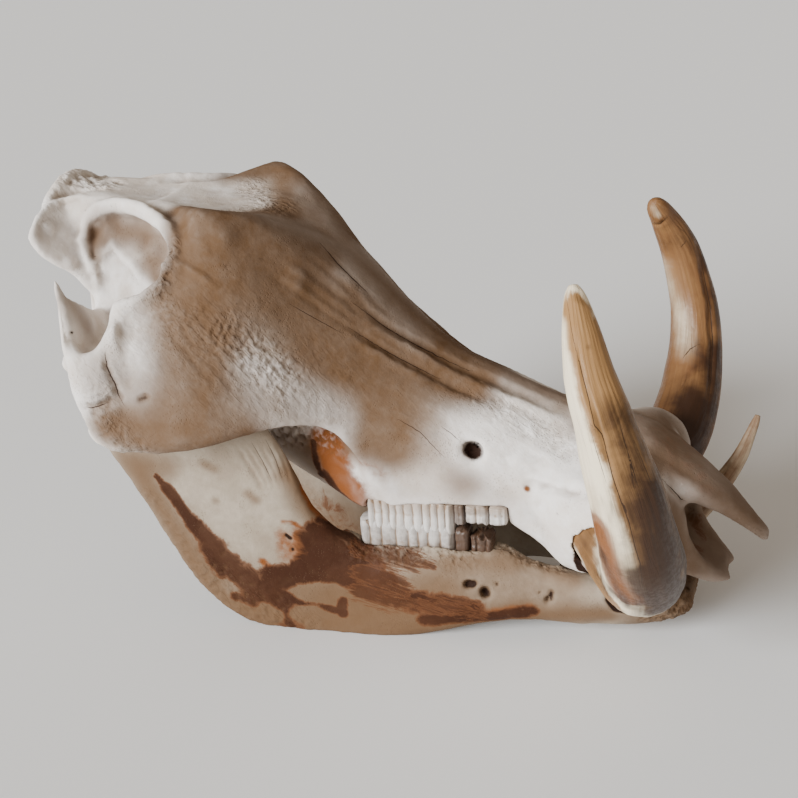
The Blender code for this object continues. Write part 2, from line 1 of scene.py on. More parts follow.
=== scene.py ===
"""Dresses the solids of a warthog skull: carved bone, grained tusks and worn cheek teeth.

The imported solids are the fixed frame. Each bone here is a dense copy of its solid with
sutures, holes, rough patches and stains carved and coloured on it. The tusks and teeth are
modelled afresh along the same lines. Marks that the photograph shows are placed by the
pixels they show at, through the photograph's own camera, and so lie on the bone itself.
Lengths in the tables are in millimetres and pixels count in the 798 by 798 photograph.
"""

import math
from collections import namedtuple

import bmesh
import bpy
import numpy as np
from bpy.props import FloatProperty, FloatVectorProperty, IntProperty, PointerProperty
from mathutils import Matrix, Vector, noise
from mathutils.bvhtree import BVHTree


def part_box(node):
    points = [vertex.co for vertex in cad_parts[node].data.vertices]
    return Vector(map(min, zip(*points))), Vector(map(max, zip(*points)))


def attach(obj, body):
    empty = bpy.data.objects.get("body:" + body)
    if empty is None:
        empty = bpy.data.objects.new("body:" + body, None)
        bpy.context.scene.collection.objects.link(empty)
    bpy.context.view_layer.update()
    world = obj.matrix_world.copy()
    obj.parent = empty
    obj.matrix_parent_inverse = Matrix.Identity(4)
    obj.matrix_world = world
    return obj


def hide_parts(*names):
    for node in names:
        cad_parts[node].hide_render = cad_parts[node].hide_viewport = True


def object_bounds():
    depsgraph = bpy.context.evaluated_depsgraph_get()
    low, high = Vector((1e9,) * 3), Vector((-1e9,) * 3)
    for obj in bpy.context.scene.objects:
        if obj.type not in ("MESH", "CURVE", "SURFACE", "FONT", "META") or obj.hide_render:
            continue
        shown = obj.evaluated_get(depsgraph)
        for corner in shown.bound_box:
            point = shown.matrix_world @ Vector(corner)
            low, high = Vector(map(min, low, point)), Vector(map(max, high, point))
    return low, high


bl_info = {
    "name": "Warthog skull",
    "version": (1, 0, 0),
    "blender": (4, 5, 0),
    "location": "3D View > Sidebar > Skull",
    "description": "Carved bone, grained tusks and worn teeth on the solids of a skull",
    "category": "Object",
}

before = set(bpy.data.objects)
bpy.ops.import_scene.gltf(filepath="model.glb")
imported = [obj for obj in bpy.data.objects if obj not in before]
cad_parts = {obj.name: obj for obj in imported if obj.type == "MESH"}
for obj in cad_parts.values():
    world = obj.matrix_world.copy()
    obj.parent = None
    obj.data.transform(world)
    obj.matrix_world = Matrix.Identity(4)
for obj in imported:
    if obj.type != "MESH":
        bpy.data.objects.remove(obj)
CAD_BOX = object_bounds()
MM = 0.001
# Station along the skull, in millimetres, at which the frame has its origin
MIDDLE_STATION = 26.2

# The photograph's camera
PHOTO_SIZE = 798
FOCAL_PIXELS = 1458.0
CAMERA_AZIMUTH = math.radians(18.7)
CAMERA_ELEVATION = math.radians(22.4)
CAMERA_ROLL = math.radians(-3.6)
CAMERA_TARGET = Vector((20.0 - MIDDLE_STATION, 0.0, 123.0)) * MM
CAMERA_DISTANCE = 829.0 * MM
SENSOR_WIDTH = 36.0
NEAREST_SEEN = 0.01
# Where a line of sight that misses a piece is searched for the nearest spot, in metres from
# the camera
SEARCH_START = 0.6
SEARCH_STEP = 0.01
SEARCH_STEPS = 40

# The soft window light, in metres from the origin, and the floor's half width
WINDOW_PLACE = Vector((-1.15, -1.70, 0.70))
FLOOR_REACH = 6.0

# Share of the light that gets through a full coat of tan
GLAZE_PASSES = 0.13

# Start of the vector noise, which would be another one each time Blender starts
NOISE_SEED = 1
# Drawn lines waver by noise: size of its waves, and its reach
BONE_WAVER = (5.0, 0.8)
TUSK_WAVER = (6.0, 0.7)
# A long mark tapers over this share of its length, to this share of its depth
END_SHARE = 0.25
END_DEPTH = 0.25
# A crack tapers over a share of its length too, to this much of its darkness
CRACK_END_SHARE = 0.3
CRACK_END_DARK = 0.35
# How far a crack runs out beyond its last pixel, how many crack widths away counts as no
# crack at all, and how far a crack's field reaches to each side
CRACK_RUN_OUT = 1.5
NO_CRACK = 9.0
BONE_CRACK_REACH = 3.4
TUSK_CRACK_REACH = 2.2
# Rough patches, as shares of a patch's height and grain: how high lumps stand, how deep
# holes go, and the holes' radius and soft edge
LUMP_SHARE = 1.3
HOLE_SHARE = 0.9
HOLE_RADIUS = 0.42
HOLE_EDGE = 0.3
HOLE_GRAIN = 0.9
# How far apart in the noise the lumps and the holes of two patches are taken
LUMP_STEP = 3.7
HOLE_STEP = 1.6
# Gentle unevenness of a surface: size of its waves, height, kind of noise, and where in it
BONE_WAVES = ((26.0, 0.35, "fractal", 0.0), (5.0, 0.12, "fractal", 40.0))
TUSK_WAVES = ((16.0, 0.25, "plain", 12.0),)
# Curve points between two places on a tusk's centre line
PATH_STEPS = 16
# Grain of a tusk: width of its streaks, and the noise's scale along it as a share of that across
STREAK_WIDTH = 2.2
STREAK_STRETCH = 0.07
# Relief that counts as a full hollow or ridge, and the rounds of blending it is measured by
BONE_RELIEF = (0.7, 6)
TOOTH_RELIEF = (0.5, 4)

NO_MARKS = {}

# A line or hole cut in a surface: pixels along it, half width, depth (negative stands
# proud), how dark it is, and whether the far side has one too
# A mark's darkness is dirt in lines and cracks, and painted shade in deep holes and sockets
Mark = namedtuple("Mark", "path width depth dark both", defaults=(0.0, True))
# A fine dark crack: pixels along it, half width, how dark, and whether the far side has one
Crack = namedtuple("Crack", "path line dark both", defaults=(False,))
# A patch of rough bone: pixels along it, half width, height of the roughness, size of its grain
Patch = namedtuple("Patch", "path width height grain")
# A coloured patch: pixels along it, half width, strength
Stain = namedtuple("Stain", "path width strength")
# The tables of coloured patches of one bone; clean spots cut stains, and lit patches, painted light with
# some bleaching, cut the tan
Colouring = namedtuple("Colouring", "tan brown orange streaks clean bleached",
                       defaults=(NO_MARKS, NO_MARKS, NO_MARKS))


def spread(name, first, last, count, *sizes):
    """Marks along lines of pixels that fan out evenly from a first line to a last one."""
    made = {}
    for k in range(count):
        t = k / (count - 1)
        path = tuple((a[0] + (b[0] - a[0]) * t, a[1] + (b[1] - a[1]) * t)
                     for a, b in zip(first, last))
        made["%s %d" % (name, k + 1)] = Mark(path, *sizes)
    return made


# Lines that are both carved and cracked
CHEEK_SUTURE = ((105, 352), (107, 367), (111, 376), (116, 385), (118, 394), (123, 404))
NOSE_SUTURE = ((659, 477), (672, 489), (681, 499), (690, 507))
TUSK_GROOVE = ((697, 245), (704, 275), (710, 305), (713, 345), (711, 380), (706, 410))

CRANIUM_MARKS = {
    "snout groove": Mark(
        ((350, 300), (385, 325), (420, 345), (491, 379), (530, 397), (566, 412)), 2.6, 1.9, 0.3),
    "snout ridge": Mark(((371, 323), (420, 354), (467, 381), (520, 403), (566, 423)), 2.4, -1.9),
    "second snout groove": Mark(
        ((341, 322), (391, 353), (416, 366), (450, 384), (500, 406)), 1.9, 1.4, 0.28),
    "third snout ridge": Mark(((352, 338), (392, 362), (430, 382)), 2.2, -1.0),
    "snout crease": Mark(((530, 485), (553, 488), (584, 495)), 2.2, 1.9, 0.25),
    "snout hollow": Mark(((520, 460), (550, 472), (578, 480)), 12.0, 1.9),
    "snout trough": Mark(((532, 426), (556, 440), (580, 461)), 6.0, 1.5, 0.1),
    "cheek suture": Mark(CHEEK_SUTURE, 1.5, 1.5, 0.1),
    "lobe groove": Mark(((84, 407), (92, 408), (99, 406), (108, 403), (118, 396)), 2.2, 2.6, 0.15),
    "upper lobe": Mark(((88, 388), (100, 382)), 8.0, -2.6),
    "lower lobe": Mark(((106, 424), (120, 438)), 8.0, -2.0),
    "nose suture": Mark(NOSE_SUTURE, 1.4, 1.0, 0.2),
    "nose band": Mark(((652, 461), (675, 476), (700, 494), (720, 507)), 3.0, -1.2),
    "spike groove": Mark(((57, 300), (62, 325), (71, 350)), 2.2, 1.6, 0.1),
    "eye rim": Mark(
        ((84, 226), (88, 214), (97, 204), (116, 200), (140, 205), (158, 214), (170, 225), (176, 240),
         (173, 256), (164, 268), (155, 282), (143, 294), (128, 303)), 2.2, -1.7),
    "eye rim rear": Mark(((84, 226), (81, 240), (85, 254), (93, 268), (98, 282), (100, 296)), 2.0, -2.2),
    "groove outside the rim": Mark(
        ((136, 199), (152, 204), (168, 213), (182, 226), (186, 244)), 3.6, 1.8, 0.1),
    "bowl corner": Mark(((98, 226), (93, 240), (94, 252), (96, 263)), 2.6, 2.2, 0.1),
    "bowl": Mark(((104, 228), (118, 226), (140, 232), (154, 250)), 7.0, 3.0),
    "wing hollow": Mark(((50, 226), (60, 245), (72, 262)), 9.0, 2.0),
    "wing rim": Mark(((32, 240), (35, 222), (46, 208), (62, 199), (80, 196), (94, 199)), 1.8, -1.4),
    "groove behind the wing": Mark(
        ((47, 202), (60, 195), (76, 190), (95, 189), (112, 189)), 2.0, 2.4, 0.1),
    "brow line": Mark(((170, 260), (188, 268), (205, 278), (216, 286)), 1.5, -1.2),
    # Deep holes are painted dark: painted shade inside them
    "cheek nerve hole": Mark(((471, 450), (474, 452)), 4.6, 6.0, 1.0),
    "eye rim hole": Mark(((158, 277), (167, 275)), 2.6, 2.2, 0.2),
    "orbit plane edge": Mark(
        ((97, 262), (104, 252), (112, 244), (122, 254), (134, 266), (147, 284)), 2.0, -1.6),
    "eye rim crumble": Mark(((168, 247), (171, 252)), 1.4, 1.6, 0.5),
    "cheek pit": Mark(((141, 400), (146, 397)), 1.7, 1.6, 0.5),
    "snout pit": Mark(((527, 489),), 1.3, 1.0, 0.2, False),
    "spike pit": Mark(((72, 332),), 1.0, 0.7, 0.8, False),
    "peach hollow": Mark(((362, 464), (376, 473)), 5.0, 0.7, 0.0, False),
    "forehead hollow": Mark(((225, 235), (262, 262), (300, 280)), 20.0, 2.2),
    "cheek hollow": Mark(((150, 330), (190, 352)), 10.0, 1.2),
    # The socket's dark rim, where the tusk goes into the bone, is painted shadow
    "tusk socket": Mark(((592, 536), (582, 545), (577, 557), (580, 568), (590, 577)), 2.0, 2.2, 0.95),
    **spread("forehead line", ((262, 268), (310, 300), (352, 330)),
             ((322, 246), (352, 276), (392, 318)), 5, 1.6, 0.45),
    **spread("cheek line", ((150, 300), (180, 345), (215, 385)),
             ((200, 290), (262, 345), (318, 392)), 7, 1.8, 0.5),
}
CRANIUM_CRACKS = {
    "forehead crack": Crack(((320, 243), (336, 262), (352, 278), (368, 293)), 0.45, 0.9),
    "cheek suture": Crack(CHEEK_SUTURE, 0.4, 0.8, True),
    "lobe groove": Crack(((86, 407), (92, 408), (99, 406), (108, 403)), 0.35, 0.7, True),
    "eye rim suture": Crack(((117, 197), (116, 207)), 0.3, 0.7),
    "nose suture": Crack(NOSE_SUTURE, 0.35, 0.8, True),
    "snout vein": Crack(((398, 419), (420, 432), (444, 457)), 0.3, 0.55),
    "second snout vein": Crack(((441, 426), (452, 434), (460, 441)), 0.3, 0.5),
    "snout groove": Crack(((352, 302), (385, 327), (420, 347), (470, 371)), 0.4, 0.75, True),
    "second snout groove": Crack(((348, 327), (391, 354), (416, 367), (440, 379)), 0.35, 0.6, True),
    "brow hairline": Crack(((290, 304), (318, 320), (342, 333)), 0.3, 0.5, True),
}
CRANIUM_PATCHES = {
    "cheek": Patch(((165, 325), (225, 365), (300, 400)), 34.0, 0.2, 3.0),
    "cheek middle": Patch(((226, 334), (256, 356), (282, 376)), 11.0, 0.6, 2.8),
    "cheek upper": Patch(((196, 318), (204, 345)), 7.0, 0.4, 3.0),
    "lower rear lobe": Patch(((100, 418), (118, 436), (135, 450)), 10.0, 0.6, 3.2),
    "upper rear lobe": Patch(((85, 378), (100, 392)), 10.0, 0.4, 2.6),
    "eye rim": Patch(((158, 292), (168, 262), (172, 245)), 4.0, 0.8, 2.6),
    "rim frill": Patch(((160, 300), (180, 322)), 8.0, 0.4, 2.6),
    "brow": Patch(((254, 186), (264, 200), (274, 210)), 8.0, 0.5, 2.6),
    "front flange": Patch(((262, 432), (300, 432), (337, 438)), 8.0, 1.4, 4.0),
    "snout stipple": Patch(((480, 398), (525, 420), (567, 442)), 9.0, 0.3, 2.4),
    "crest flake": Patch(((64, 178), (80, 180), (100, 186)), 7.0, 0.8, 5.0),
    "crest": Patch(((40, 215), (62, 195), (92, 183)), 7.0, 0.3, 4.5),
    "snout side": Patch(((440, 420), (500, 440)), 26.0, 0.12, 3.0),
}
# Tan, in part browning of the bone and in part painted shade: the forehead, brow, nose slopes, cheek
# front and middle, snout shoulder and ridge, snout end, far socket, nose, behind the tusk and under the
# cheek turn away from the window light
CRANIUM_TAN_AND_SHADE = {
    "forehead": Stain(((222, 256), (262, 280), (305, 305), (345, 338)), 24.0, 1.2),
    "forehead top": Stain(((212, 232), (255, 240), (300, 255)), 15.0, 1.1),
    "forehead edge": Stain(((225, 222), (262, 220), (300, 232), (325, 255)), 10.0, 1.1),
    "brow slope": Stain(((190, 216), (196, 240), (202, 290), (204, 330)), 14.0, 1.3),
    "brow band": Stain(((178, 209), (215, 212), (292, 210)), 8.0, 1.1),
    "nose slope": Stain(((322, 212), (345, 246), (400, 304), (470, 356)), 12.0, 1.2),
    "nose slope front": Stain(((480, 362), (560, 399)), 8.0, 0.6),
    "cheek front": Stain(((312, 345), (350, 370), (392, 400)), 14.0, 1.1),
    "snout shoulder": Stain(((360, 340), (420, 368), (470, 388)), 13.0, 1.2),
    "snout ridge": Stain(((352, 296), (420, 342), (480, 372)), 8.0, 1.2),
    "cheek low": Stain(((245, 410), (280, 404), (330, 412)), 14.0, 0.42),
    "cheek edge": Stain(((112, 426), (140, 434), (180, 440), (215, 442), (242, 436)), 11.0, 1.15),
    "cheek rear": Stain(((166, 297), (170, 330), (174, 360), (170, 400)), 12.0, 0.74),
    "cheek middle": Stain(((208, 300), (212, 345), (206, 385), (196, 418), (170, 444)), 17.0, 1.0),
    "cheek sweep": Stain(((244, 352), (268, 370), (290, 382)), 11.0, 0.4),
    "rear of the cheek": Stain(((104, 376), (124, 388), (150, 412)), 11.0, 0.42),
    "snout side": Stain(((372, 390), (387, 412), (390, 436)), 16.0, 1.2),
    "snout side front": Stain(((422, 396), (430, 420), (438, 446)), 12.0, 0.42),
    "bump": Stain(((262, 192), (285, 178), (302, 192)), 15.0, 0.28),
    "wing patch": Stain(((41, 236), (48, 220)), 4.0, 0.2),
    # The orbit's bowl and its corner lie under the rim: painted shadow
    "bowl": Stain(((98, 240), (108, 226), (122, 232), (145, 236), (156, 250), (154, 266)), 8.0, 0.8),
    "bowl corner": Stain(((92, 236), (94, 250), (97, 258)), 3.5, 0.85),
    "eye rim hole": Stain(((157, 277), (167, 275)), 3.2, 0.9),
    "temple": Stain(((68, 296), (78, 312), (86, 326)), 7.0, 0.45),
    "below the nerve hole": Stain(((464, 482),), 9.0, 0.55),
    "over the teeth": Stain(((385, 485), (440, 492), (500, 500)), 14.0, 0.16),
    "snout end": Stain(((600, 420), (640, 420), (668, 440)), 16.0, 0.5),
    "far socket": Stain(((640, 412), (665, 414), (688, 430)), 14.0, 0.45),
    "nose": Stain(((670, 455), (705, 485), (750, 522)), 15.0, 0.85),
    "nose front": Stain(((690, 535), (706, 560), (728, 578)), 22.0, 0.7),
    "behind the tusk": Stain(((655, 470), (672, 510), (682, 560)), 12.0, 0.85),
    "jaw end of the cheek": Stain(((345, 446), (370, 446), (395, 450)), 8.0, 0.9),
    "under the cheek": Stain(((285, 440), (300, 450), (315, 462)), 8.0, 0.6),
    "behind the teeth": Stain(((312, 446), (325, 462), (340, 486), (352, 500)), 8.0, 1.0),
    "tusk flange": Stain(((581, 545), (584, 565), (598, 588), (612, 600)), 4.0, 0.5),
}
# Lit patches, painted light in the most part with some bleaching: the snout side, the cheek, the crest
# top and the orbit's floor where the light falls, and painted fill light on the forehead's edge and the
# wing
CRANIUM_BLEACH_AND_LIGHT = {
    "snout side": Stain(((480, 436), (525, 452), (575, 470)), 15.0, 0.95),
    # The orbit's floor below the rim, where light reaches in: painted light
    "orbit plane left": Stain(((111, 262), (106, 276), (108, 294)), 4.5, 1.0),
    "orbit plane right": Stain(((121, 264), (132, 276), (141, 286)), 5.0, 1.0),
    "forehead edge": Stain(((304, 192), (330, 225), (352, 262), (388, 308), (412, 330)), 9.0, 0.26),
    "light cheek": Stain(((250, 364), (276, 378), (302, 396), (340, 410)), 9.0, 0.45),
    # A painted highlight along the nose band
    "nose band": Stain(((664, 484), (684, 494)), 5.0, 0.6),
    "crest top": Stain(((130, 188), (185, 190), (225, 190)), 8.0, 0.3),
    "wing": Stain(((55, 225), (66, 245), (78, 262)), 9.0, 0.8),
}
# Brown stains, and painted shade in the nose opening and round the tusk socket
CRANIUM_BROWN_AND_SHADE = {
    "dark line behind the teeth": Stain(((314, 442), (316, 460), (321, 474)), 2.2, 1.0),
    "brown line behind the teeth": Stain(((326, 474), (338, 491), (352, 505), (364, 512)), 3.2, 0.9),
    "nose opening": Stain(((694, 520), (702, 535)), 6.0, 0.5),
    "tusk socket": Stain(((590, 538), (581, 547), (578, 558), (582, 570)), 2.6, 0.8),
}
CRANIUM_ORANGE = {
    "behind the teeth": Stain(((326, 442), (334, 462), (344, 484), (354, 498)), 9.0, 1.3),
    "snout pit": Stain(((527, 489),), 1.6, 0.9),
    "peach hollow": Stain(((360, 462), (368, 466), (379, 474)), 4.2, 0.42),
    "tusk flange": Stain(((588, 556), (600, 582)), 6.0, 0.7),
    "snout end": Stain(((640, 420), (670, 445), (700, 480)), 16.0, 0.22),
}

JAW_MARKS = {
    # The nerve and vessel holes are painted dark: painted shade inside them
    "first nerve hole": Mark(((468, 583), (473, 584)), 2.0, 2.6, 1.0),
    "second nerve hole": Mark(((485, 590), (486, 593)), 2.4, 2.4, 0.75),
    "third nerve hole": Mark(((497, 584),), 1.0, 1.2, 0.8, False),
    "front nerve hole": Mark(((551, 593), (551, 598)), 1.5, 1.8, 0.75),
    "front pinhole": Mark(((539, 593),), 0.9, 0.9, 0.7, False),
    "upper vessel hole": Mark(((286, 535), (290, 538)), 1.2, 0.9, 0.9, False),
    "lower vessel hole": Mark(((293, 549),), 1.1, 0.8, 0.9, False),
    # The dark line where the lower tusk leaves the jaw is painted shadow
    "lower tusk socket": Mark(((607, 588), (608, 600), (615, 609), (629, 613)), 1.5, 1.6, 0.95),
    "tooth row furrow": Mark(((372, 556), (420, 562), (470, 566), (500, 570)), 4.0, 1.0),
    "belly": Mark(((300, 600), (380, 612), (450, 606)), 12.0, 0.9),
    **spread("branch groove", ((236, 446), (252, 470), (266, 496)),
             ((274, 440), (284, 462), (292, 488)), 6, 1.3, 0.8, 0.12),
}
JAW_CRACKS = {
    "branch crack": Crack(((252, 443), (262, 460), (272, 481)), 0.3, 0.5),
    "second branch crack": Crack(((266, 440), (275, 458), (282, 478)), 0.3, 0.5),
    "gap edge": Crack(((470, 541), (495, 549), (520, 556)), 0.4, 0.7),
}
JAW_PATCHES = {
    "angle": Patch(((215, 575), (250, 605), (290, 622)), 14.0, 0.45, 4.0),
    "rear border": Patch(((150, 500), (185, 550), (215, 590)), 8.0, 0.3, 3.4),
    "chin": Patch(((660, 600), (690, 606)), 12.0, 1.2, 3.6),
    "under the teeth": Patch(((360, 548), (420, 552), (470, 556)), 6.0, 0.8, 3.0),
    "gap behind the tusk": Patch(((475, 545), (520, 556), (560, 568)), 4.0, 1.0, 3.0),
    "side": Patch(((400, 575), (480, 585), (560, 592)), 16.0, 0.12, 3.0),
}
# Tan, in part browning and in part painted shade: the rear border, the angle, the lower body and the
# underside face down and away from the light
JAW_TAN_AND_SHADE = {
    "rear border": Stain(
        ((140, 474), (158, 502), (176, 532), (194, 562), (220, 598), (250, 618)), 9.0, 0.8),
    "top of the branch": Stain(((125, 458), (165, 466)), 7.0, 0.5),
    "front border": Stain(((282, 448), (293, 470), (305, 492), (317, 512)), 7.0, 1.0),
    "underside": Stain(((240, 624), (330, 634), (420, 628), (520, 614)), 8.0, 1.0),
    "angle": Stain(((200, 560), (235, 592), (300, 622)), 16.0, 0.45),
    "body": Stain(((340, 600), (400, 606), (440, 600)), 15.0, 0.8),
    "below the third tooth": Stain(((450, 562), (480, 560), (512, 566)), 5.0, 0.55),
    "below the nerve holes": Stain(((440, 582), (500, 590), (560, 588)), 14.0, 0.42),
    "front underside": Stain(((520, 616), (560, 616), (605, 614)), 7.0, 0.85),
    "gap behind the tusk": Stain(((500, 552), (540, 566), (575, 580)), 4.0, 0.5),
    "upper island": Stain(((285, 592), (318, 590), (345, 592), (380, 596)), 12.0, 0.7),
    "lower island": Stain(((258, 614), (300, 618), (345, 618), (410, 618)), 12.0, 0.95),
    "branch spot": Stain(((204, 464), (214, 469)), 2.2, 0.4),
    "second branch spot": Stain(((248, 494), (256, 500)), 2.4, 0.45),
    "third branch spot": Stain(((216, 501),), 2.0, 0.35),
    "chin": Stain(((650, 600), (692, 600)), 14.0, 1.0),
}
JAW_BROWN = {
    "rear band top": Stain(((156, 476), (166, 487)), 1.8, 1.0),
    "rear band": Stain(((166, 487), (180, 506), (192, 522)), 3.6, 1.0),
    "rear band middle": Stain(((192, 522), (206, 537), (216, 547)), 5.5, 1.0),
    "rear blot": Stain(((212, 548), (224, 566)), 8.0, 1.0),
    "rear band low": Stain(((226, 563), (246, 580), (262, 594)), 8.0, 1.0),
    "angle": Stain(((258, 592), (274, 600), (288, 612)), 11.0, 1.0),
    "angle foot": Stain(((289, 606), (290, 622)), 5.0, 1.0),
    "angle rear": Stain(((236, 596), (262, 606)), 4.0, 0.75),
    "bridge": Stain(((272, 576), (292, 574), (312, 560)), 7.0, 1.0),
    "great stain": Stain(((318, 542), (330, 555), (345, 566)), 12.0, 1.1),
    "great stain front": Stain(((350, 556), (372, 571)), 8.0, 1.0),
    "great stain point": Stain(((312, 529), (324, 533)), 4.5, 1.0),
    "under the first column": Stain(((334, 529), (352, 538), (366, 545)), 4.0, 1.0),
    "great stain low": Stain(((275, 580), (300, 580), (345, 578), (370, 580), (388, 584)), 6.0, 1.15),
    "bar root": Stain(((284, 595), (300, 602)), 4.0, 1.0),
    "bar": Stain(((300, 603), (318, 606), (332, 609), (344, 612)), 2.2, 1.0),
    "bar end": Stain(((342, 600), (343, 613)), 2.8, 1.2),
    "front patch arm": Stain(((372, 596), (390, 598), (405, 603)), 2.0, 0.55),
    "front patch": Stain(((408, 600), (430, 604), (455, 606), (474, 610)), 7.0, 0.85),
    "front patch foot": Stain(((424, 618), (442, 618)), 2.0, 0.65),
    "underside patch": Stain(((425, 620), (460, 618), (500, 616), (532, 611)), 4.5, 0.9),
    "tongue behind the teeth": Stain(((318, 520), (334, 527), (350, 534)), 2.4, 0.8),
}
JAW_STREAKS = {
    "upper fan": Stain(((360, 548), (390, 554), (412, 560)), 6.0, 0.95),
    "lower fan": Stain(((366, 574), (390, 580), (402, 588)), 7.0, 0.8),
    "low fan": Stain(((360, 592), (385, 600), (405, 602)), 6.0, 0.8),
    "fan point": Stain(((400, 556), (432, 565)), 3.0, 0.8),
    "front patch": Stain(((412, 604), (440, 608), (478, 613)), 6.0, 0.6),
}
JAW_CLEAN = {
    "upper island": Stain(((304, 592), (318, 590), (332, 591)), 5.5, 0.95),
    "rear island": Stain(((266, 609), (276, 615)), 4.5, 1.0),
    "lower island": Stain(((298, 615), (314, 612)), 5.0, 1.0),
}
JAW_ORANGE = {
    "line over the stain": Stain(((282, 521), (292, 522), (302, 528)), 1.4, 0.8),
    "glow by the stain": Stain(((286, 538), (290, 556)), 6.0, 0.7),
    "edge of the stain": Stain(((300, 538), (306, 556), (300, 572)), 6.0, 0.95),
    "rear edge of the stain": Stain(((262, 561), (274, 571)), 2.6, 0.9),
    "front border": Stain(((302, 487), (311, 505), (325, 520), (345, 530)), 2.6, 0.9),
    "underside": Stain(((490, 612), (530, 607)), 2.6, 0.6),
}

# Tusk centre lines and radii, as in the solids: station, side distance, height
UPPER_TUSKS = {
    "right": (
        [(138, -42, 74), (151, -55, 69), (163, -68, 66), (170.5, -82, 71), (173.5, -98, 86),
         (174, -112, 101), (173, -122, 118), (170.5, -129.6, 138), (166, -131.8, 155),
         (160, -131.6, 176), (153.5, -127, 194), (148, -118, 212), (144, -110.5, 226),
         (142.5, -107.5, 231)],
        (14, 17, 19.5, 21, 21, 20, 18.8, 17.6, 16.2, 13.9, 11.8, 8.8, 5.2, 2.2)),
    "left": (
        [(138, 42, 75), (149, 55, 71), (160, 68, 70), (166.5, 82, 76), (170.5, 98, 89),
         (172, 112, 103), (172, 124, 119), (170, 132, 138), (166, 134.7, 155),
         (160, 134.5, 176), (153, 128, 194), (148, 117, 207), (146.5, 114, 211)],
        (14, 17, 19, 19.6, 18.8, 17.6, 16, 14.5, 13.2, 11.6, 9, 5.8, 2.4)),
}
LOWER_TUSKS = {
    "left": ([(146, 28, 22), (158, 31, 25), (170, 35, 31), (182, 40, 44), (195.5, 47, 61),
              (206, 54, 77.5), (212.5, 62, 93), (214.5, 65.5, 99)],
             (6, 7, 7.2, 6.6, 5.8, 4.5, 2.8, 1.4)),
    "right": ([(146, -28, 22), (158, -31, 25), (170, -35, 31), (178, -38, 38.5)],
              (6, 7, 7.2, 6.2)),
}
TUSK_MARKS = {
    "right": {
        "arris": Mark(
            ((565, 300), (568, 330), (573, 360), (582, 395), (592, 430), (603, 466), (615, 505),
             (627, 545), (637, 590)), 4.0, -0.8),
        "inner flat": Mark(
            ((580, 320), (592, 360), (608, 410), (625, 460), (643, 515), (655, 560)), 6.0, 0.9),
        "outer flat": Mark(((567, 400), (580, 450), (592, 500), (606, 545)), 4.5, 0.7),
        "long crack": Mark(
            ((567, 303), (573, 338), (581, 369), (588, 396), (602, 434), (613, 478), (621, 501),
             (635, 547), (642, 582)), 1.1, 0.5),
        "tip notch": Mark(((580, 296), (586, 300)), 2.2, 0.8),
        "root hollow": Mark(((600, 552), (612, 578)), 5.0, 1.0),
    },
    "left": {
        "long groove": Mark(TUSK_GROOVE, 2.0, 1.7, 0.15),
        "tip facet": Mark(((652, 208), (658, 212)), 4.0, 1.3),
        "tip step": Mark(((650, 223), (658, 225), (666, 219)), 1.2, 1.0, 0.3),
        "waist": Mark(((684, 344), (692, 352)), 3.0, 0.5),
    },
}
TUSK_CRACKS = {
    "right": {
        "long crack": Crack(
            ((567, 300), (570, 320), (573, 338), (581, 369), (588, 396), (594, 425), (602, 434),
             (608, 458), (613, 478), (621, 501), (629, 522), (635, 547), (640, 563), (642, 582),
             (645, 600)), 0.24, 0.85),
        "side crack": Crack(((590, 428), (598, 456), (606, 482)), 0.2, 0.7),
        "front crack": Crack(((618, 417), (624, 440), (631, 462), (638, 486)), 0.26, 0.8),
        "second front crack": Crack(((627, 448), (631, 470), (634, 488)), 0.22, 0.8),
        "far front crack": Crack(((634, 440), (646, 470), (658, 500), (668, 530)), 0.24, 0.7),
        "low front crack": Crack(((650, 465), (658, 490)), 0.22, 0.7),
        "low crack": Crack(((622, 500), (627, 512)), 0.3, 0.7),
    },
    "left": {
        "long groove": Crack(TUSK_GROOVE, 0.32, 0.8),
        "tip line": Crack(((652, 223), (660, 224), (667, 217)), 0.35, 0.8),
        "nick": Crack(((681, 247), (686, 241)), 0.3, 0.8),
        "base crack": Crack(((683, 358), (690, 349), (700, 344)), 0.35, 0.8),
    },
}
TUSK_TAN_AND_SHADE = {
    "right": {
        # The right tusk's inner face and edge turn from the light: their tan is in part painted shade
        "inner face": Stain(
            ((577, 308), (582, 340), (599, 396), (612, 434), (624, 466), (635, 501), (651, 547),
             (657, 582), (659, 606)), 8.0, 1.1),
        "root": Stain(((583, 540), (588, 562), (598, 585), (610, 600)), 9.0, 1.0),
        "inner edge": Stain(((604, 340), (630, 410), (655, 480), (676, 550), (684, 595)), 12.0, 1.2),
        "foot": Stain(((656, 560), (664, 585), (674, 600)), 13.0, 1.3),
        "root glow": Stain(((600, 535), (606, 556), (617, 582), (626, 600)), 6.0, 1.0),
    },
    "left": {
        "whole": Stain(((662, 240), (680, 280), (690, 340), (692, 400)), 40.0, 1.0),
        "edge": Stain(((700, 250), (716, 300), (718, 380)), 20.0, 1.0),
    },
}
